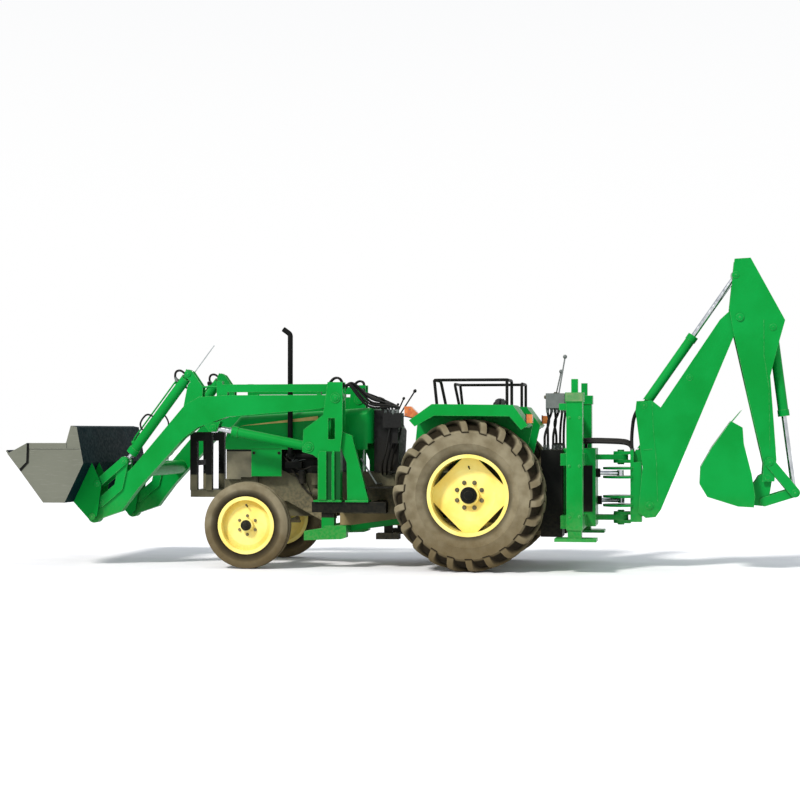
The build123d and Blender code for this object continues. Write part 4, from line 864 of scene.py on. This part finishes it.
def hood_trim():
    """Stripe, catches and the seam of the side panels on both sides of the hood."""
    for side, word in SIDES:
        face = side * HOOD_FACE_Y
        stripe = bmesh.new()
        plate(stripe, [(2293, 1347), (1518, 1443), (1518, 1404)], face, side * 2.0)
        made("hood_stripe_" + word, stripe, "yellow_paint", "chassis", finish=STRIPE)
        plate(small("hood_seam", "black_paint"),
              [(1885, 1122), (2175, 1122), (2175, 1126), (1885, 1126)], face, side * 1.2)
        for x in (1905, 2155):
            bolt(small("hood_catches", "black_paint"), at(x, side * 320, 1085), Y_AXIS * side, 0.010, 0.010)


# Loader bucket
BUCKET_FACE_Y = 899.5
# name, slot, thickness, outline on the end plate
BUCKET_PLATES = (
    ("bucket_side_cutters", "bucket_grey", 10.0, ((4436, 1080), (4239, 1183), (4244, 1003), (4316, 931))),
    # a black plate round the cutters' edges is painted shadow
    ("bucket_cutter_joints", "black_paint", 5.0, ((4240, 1184), (4216, 1184), (4221, 994), (4301, 911),
                                                  (4317, 930), (4245, 1002))),
    ("bucket_rim_bands", "bucket_grey", 6.0, ((4214, 1184), (3842, 1184), (3842, 1132), (4214, 1132))),
)


def bucket_trim():
    """Side cutters of the loader bucket, a black plate behind them as painted shadow, the band along its rim
    and its weld.
    """
    for side, _ in SIDES:
        for name, slot, thick, outline in BUCKET_PLATES:
            plate(small(name, slot, "loader_bucket"), outline, side * BUCKET_FACE_Y, side * thick)
        tube(small("bucket_welds", "bucket_grey", "loader_bucket"),
             [at(x, side * 900, 1129) for x in (4214, 3960, 3716)], 0.005, 8)


# Backhoe
WELD_R = 0.004
# outer faces of the stabilizer column's cap, of the column and of the frame
COLUMN_CAP_Y, COLUMN_FACE_Y, FRAME_FACE_Y = 782.5, 773, 229.5
# name, body, y of the face, (x, z) points
WELDS = (
    ("boom_seams", "boom", 145, ((-1660, 1575), (-1672, 1300), (-1700, 1000), (-1708, 640))),
    ("boom_seams", "boom", 145, ((-1580, 1120), (-1660, 1128))),
    ("dipper_seams", "dipper", 169, ((-2690, 2330), (-2690, 2000), (-2735, 1700), (-2740, 1130))),
)
VALVE_PITCH = 66
# hose from the backhoe's valve to its tank: x at the valve, half way and at the tank, y
VALVE_HOSES = ((-678, -700, -650, 150), (-712, -672, -676, 90), (-742, -752, -722, 40),
               (-770, -722, -748, -20), (-798, -786, -778, -90), (-824, -812, -808, -150))


def backhoe_trim():
    """Weld seams, plates and bolts of the backhoe's frame, and the fittings of its valve bank and tank."""
    for side, word in SIDES:
        for name, body, y, path in WELDS:
            tube(small(name, "green_paint", body), [at(x, side * y, z) for x, z in path], WELD_R, 8)
        cap = bmesh.new()
        plate(cap, [(-1052, 1570), (-896, 1570), (-896, 1646), (-1052, 1646)],
              side * COLUMN_CAP_Y, side * 3.0)
        made("stabilizer_cap_plate_" + word, cap, "green_paint", "chassis", finish=WORN)
        plate(small("frame_side_plates", "black_paint"),
              [(-1107, 540), (-860, 540), (-860, 975), (-1107, 975)], side * FRAME_FACE_Y, side * 7.0)
        bolts = small("stabilizer_bolts", "green_paint")
        for z in (520, 980, 1420):
            for x in (-1020, -928):
                bolt(bolts, at(x, side * COLUMN_FACE_Y, z), Y_AXIS * side, 0.009, 0.008)
    for number in range(5):
        y = -133 + VALVE_PITCH * number
        block(small("valve_sections", "black_paint"), at(-835.5, y - 2, 1513.5), at(-663.5, y + 2, 1657.5))
    caps = small("valve_caps", "cast_grey")
    for number in range(6):
        y = -166 + VALVE_PITCH * number
        bolt(caps, at(-665, y, 1620), X_AXIS, 0.014, 0.018)
        bolt(caps, at(-750, y, 1656), Z_AXIS, 0.011, 0.012)
    lathe(small("tank_cap", "black_paint"), at(-740, -330, 1122), Z_AXIS,
          [(-0.002, 0.030), (0.03, 0.030), (0.031, 0.046), (0.055, 0.046), (0.060, 0.038)], 28)
    lathe(small("tank_gauge", "valve_grey"), at(-640, 300, 700), X_AXIS,
          [(-0.002, 0.022), (0.006, 0.022), (0.008, 0.016)], 20)
    bundle = bmesh.new()
    for top_x, mid_x, low_x, y in VALVE_HOSES:
        route = [(top_x, y, 1514), (top_x, y, 1465), (mid_x, y, 1385), (low_x, y, 1270), (low_x, y, 1185),
                 (low_x, y, 1123)]
        tube(bundle, smooth_path([at(*p) for p in route]), 0.012, 12)
        ferrule("chassis", (top_x, y, 1508), (0, 0, -1), 11)
        ferrule("chassis", (low_x, y, 1134), (0, 0, 1), 11)
    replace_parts(made("valve_bank_hoses", bundle, "moulded_black", "chassis"), "valve_hoses")


BOOM_HOSE_R = 14
# hose over the swing post to the boom: y, rise
BOOM_HOSES = ((-75, 0), (-45, 14), (-15, -6), (15, 18), (45, 4), (75, -10))


def backhoe_hoses():
    """The bundle from the tank over the swing post, up the back of the boom and on to the dipper."""
    for number, (y, rise) in enumerate(BOOM_HOSES):
        top = 1196 + rise
        route = [(-836, y, 1060 + rise / 2), (-900, y, 1150), (-960, y, top), (-1100, y, top + 8),
                 (-1250, y, top + 4), (-1362, y, top), (-1430, y, top - 10), (-1466, y, top - 40),
                 (-1470, y, 1110)]
        hose("swing_hose_%d" % (number + 1), route, BOOM_HOSE_R,
             across=("chassis", "swing_post", (-1180, y, top), (-1440, y, top)))
        near = math.copysign(100, y)
        route = [(-1470, y, 1112), (-1462, y, 1180), (-1470, y * 0.9, 1320), (-1488, near * 0.9, 1450),
                 (-1530, near, 1500 + 3 * number)]
        hose("boom_hose_%d" % (number + 1), route, BOOM_HOSE_R,
             across=("swing_post", "boom", (-1466, y, 1150), (-1500, near, 1470)))
        ferrule("swing_post", (-1470, y, 1108), (0, 0, 1), 13, 24)
    for side, word in SIDES:
        y = side * 108
        route = [(-2230, y, 2190), (-2330, y, 2330), (-2420, y, 2440), (-2500, y, 2470), (-2580, y, 2420),
                 (-2640, y, 2330)]
        hose("dipper_hose_" + word, route, 11, across=("boom", "dipper", (-2350, y, 2340), (-2590, y, 2400)))
    clamp = small("hose_clamp", "black_paint")
    block(clamp, at(-1046, -96, 1176), at(-1020, 96, 1224))
    block(clamp, at(-1046, -20, 1088), at(-1020, 20, 1180))


# Seat
VOXEL = 0.006
PRESSURE = 4.0
SWELL_CAP = 0.014  # the furthest that the simulation moves a point
FRAMES = 20
DRAW_IN = 0.03  # share by which the sides pull in between the corners
# how far in, how deep and how wide the seam round the face is, and the channels across it
SEAM_IN, SEAM_DEPTH, SEAM_W = 0.058, 0.006, 0.007
CHANNEL_DEPTH, CHANNEL_W = 0.008, 0.008
FACE_START, FACE_FADE = 0.55, 0.25  # shares of the thickness over which the seams begin
# the welt round the sides; its height is a share of the thickness
WELT_DEPTH, WELT_W, WELT_HEIGHT, WELT_REACH = 0.004, 0.005, 0.62, 0.03


def rounded(half_l, half_w, corner, inset, steps=8):
    """Points round a rectangle with round corners, drawn in by an inset."""
    far, out, radius = half_l - inset, half_w - inset, corner - inset
    points = []
    for quarter, (x_side, y_side) in enumerate(((1, 1), (-1, 1), (-1, -1), (1, -1))):
        for k in range(steps + 1):
            turn = math.pi / 2 * (quarter + k / steps)
            points.append((x_side * (far - radius) + radius * math.cos(turn),
                           y_side * (out - radius) + radius * math.sin(turn)))
    return points


def settle(piece):
    """Takes what a piece's modifiers give as its own mesh."""
    graph = bpy.context.evaluated_depsgraph_get()
    data = bpy.data.meshes.new_from_object(piece.evaluated_get(graph))
    piece.modifiers.clear()
    piece.data = data


def swell(piece):
    """Blows a pad up as cloth, held at the face it rests on."""
    remesh = piece.modifiers.new("even", "REMESH")
    remesh.mode = "VOXEL"
    remesh.voxel_size = VOXEL
    settle(piece)
    rest = [v.co.copy() for v in piece.data.vertices]
    held = piece.vertex_groups.new(name="held")
    held.add([i for i, co in enumerate(rest) if co.z < VOXEL * 1.2], 1.0, "REPLACE")
    cloth = piece.modifiers.new("swell", "CLOTH")
    cloth.settings.vertex_group_mass = "held"
    cloth.settings.use_pressure = True
    cloth.settings.uniform_pressure_force = PRESSURE
    cloth.settings.effector_weights.gravity = 0.0
    cloth.point_cache.frame_start = 1
    cloth.point_cache.frame_end = FRAMES
    for number in range(1, FRAMES + 1):
        bpy.context.scene.frame_set(number)
    settle(piece)
    for vert, start in zip(piece.data.vertices, rest):
        move = vert.co - start
        if move.length > SWELL_CAP:
            vert.co = start + move * (SWELL_CAP / move.length)
    bpy.context.scene.frame_set(1)


def hollow(distance, width):
    """How deep a rounded groove is at a distance from its middle, as a share."""
    return math.exp(-(distance / width) ** 2)


def sew(piece, size, corner, channels):
    """Draws the sides in between the corners, and presses the seams and sewn channels into the pad."""
    length, width, thick = size
    for vert in piece.data.vertices:
        x, y, z = vert.co
        edge = min(length / 2 - abs(x), width / 2 - abs(y))
        both_x, both_y = abs(x) - (length / 2 - corner), abs(y) - (width / 2 - corner)
        if both_x > 0 and both_y > 0:
            edge = corner - math.hypot(both_x, both_y)
        dip = SEAM_DEPTH * hollow(edge - SEAM_IN, SEAM_W)
        if edge > SEAM_IN:
            dip += sum(CHANNEL_DEPTH * hollow(x - place, CHANNEL_W) for place in channels)
        on_face = clipped((z / thick - FACE_START) / FACE_FADE)
        welt = WELT_DEPTH * hollow(z - WELT_HEIGHT * thick, WELT_W) if edge < WELT_REACH else 0.0
        way = Vector((x, y, 0.0)).normalized()
        vert.co = (x * (1 - DRAW_IN * (1 - (2 * y / width) ** 2)) - way.x * welt,
                   y * (1 - DRAW_IN * (1 - (2 * x / length) ** 2)) - way.y * welt,
                   max(z, 0.0) - on_face * dip)


def pad(name, size, corner, place, channels):
    """A sewn foam pad of a length, width and thickness, whose back lies flat where it is placed."""
    length, width, thick = size
    # height above the back, and how far in from the outline
    levels = ((0.0, 0.020), (0.010, 0.012), (thick * 0.45, 0.010), (thick - 0.030, 0.014),
              (thick - 0.016, 0.024), (thick - 0.009, 0.050))
    mesh = bmesh.new()
    rings = []
    for z, inset in levels:
        rings.append([mesh.verts.new((x, y, z)) for x, y in rounded(length / 2, width / 2, corner, inset)])
    skin(mesh, rings)
    piece = made(name, mesh, "seat_black", None)
    swell(piece)
    sew(piece, size, corner, channels)
    smooth = piece.modifiers.new("smooth", "SUBSURF")
    smooth.levels = smooth.render_levels = 1
    piece.data.shade_smooth()
    piece.data.transform(place)
    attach(piece, "chassis")
    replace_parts(piece, "seat_pads")


BACK_STRAP = ((-110, 1076), (-170, 1076), (-184, 1200), (-248, 1540), (-240, 1542), (-176, 1202),
              (-160, 1084), (-110, 1084))


def seat():
    """Seat cushion, back cushion, and the pan and straps that carry the back."""
    pad("seat_cushion", (0.460, 0.480, 0.104), 0.085, Matrix.Translation(at(70, 0, 1085.5)), (-0.06, 0.06))
    up = Vector((-80, 0, 430)).normalized()
    ahead = Vector((up.z, 0, -up.x))
    turn = Matrix((up, ahead.cross(up), ahead)).transposed().to_4x4()
    pad("seat_back", (0.432, 0.460, 0.066), 0.100,
        Matrix.Translation(at(-200, 0, 1416)) @ turn, (-0.07, 0.05))
    plate(small("seat_back_pan", "moulded_black"),
          [(-171, 1250), (-236, 1598), (-244, 1598), (-180, 1250)], -190, 380)
    for y in (-140, 90):
        plate(small("seat_back_straps", "black_paint"), BACK_STRAP, y, 50)


# Stage
CAMERA_PLACE = at(-2022, 15850, 1308)
CAMERA_YAW = math.radians(10.0)  # towards the front of the machine
CAMERA_PITCH = math.radians(1.04)  # upwards
CAMERA_LENS = 74.3  # on a 36 mm square sensor
FLOOR_R = 90.0
SUN_POWER, SUN_ANGLE = 3.3, math.radians(9.0)
SUN_WAY = Vector((-0.38, -0.62, -0.70))
SUN_COLOUR = (1.0, 0.97, 0.92)
SKY_LOW, SKY_HIGH = (1.0, 1.0, 1.0, 1.0), (0.62, 0.66, 0.72, 1.0)


def stage():
    """Camera, floor and lights."""
    scene = bpy.context.scene
    camera = bpy.data.cameras.new("camera")
    camera.lens = CAMERA_LENS
    camera.sensor_width = 36.0
    camera.clip_end = 300.0
    holder = placed("camera", camera)
    holder.location = CAMERA_PLACE
    look = Vector((math.sin(CAMERA_YAW), -math.cos(CAMERA_YAW), math.tan(CAMERA_PITCH)))
    holder.rotation_euler = look.to_track_quat("-Z", "Y").to_euler()
    scene.camera = holder

    bpy.ops.mesh.primitive_circle_add(vertices=96, radius=FLOOR_R, fill_type="NGON", location=(0, 0, 0))
    floor = bpy.context.object
    floor.name = "floor"
    floor.data.materials.append(surface("pale_floor", srgb(236, 236, 238), srgb(230, 230, 233),
                                        rough=(0.8, 0.9), bump=(20.0, 0.02)))

    sun = bpy.data.lights.new("key", "SUN")
    sun.energy = SUN_POWER
    sun.angle = SUN_ANGLE
    sun.color = SUN_COLOUR
    lamp = placed("key", sun)
    lamp.rotation_euler = SUN_WAY.to_track_quat("-Z", "Y").to_euler()

    world = bpy.data.worlds.new("studio")
    world.use_nodes = True
    tree = world.node_tree
    background = tree.nodes["Background"]
    height = part_of(tree, "Generated", "Z")
    colour = blend_colour(tree, span(tree, height, 0.1, 0.9), SKY_LOW, SKY_HIGH)
    tree.links.new(colour, background.inputs["Color"])
    background.inputs["Strength"].default_value = 1.0
    scene.world = world
    scene.view_settings.view_transform = "Standard"


stage()
dress_frame()
tyres()
wheel_trim()
pins()
loader_hoses()
valve_and_hoses()
dash()
seat()
lamp_trim()
engine_trim()
post_trim()
frame_trim()
hood_trim()
bucket_trim()
backhoe_trim()
backhoe_hoses()
gather()
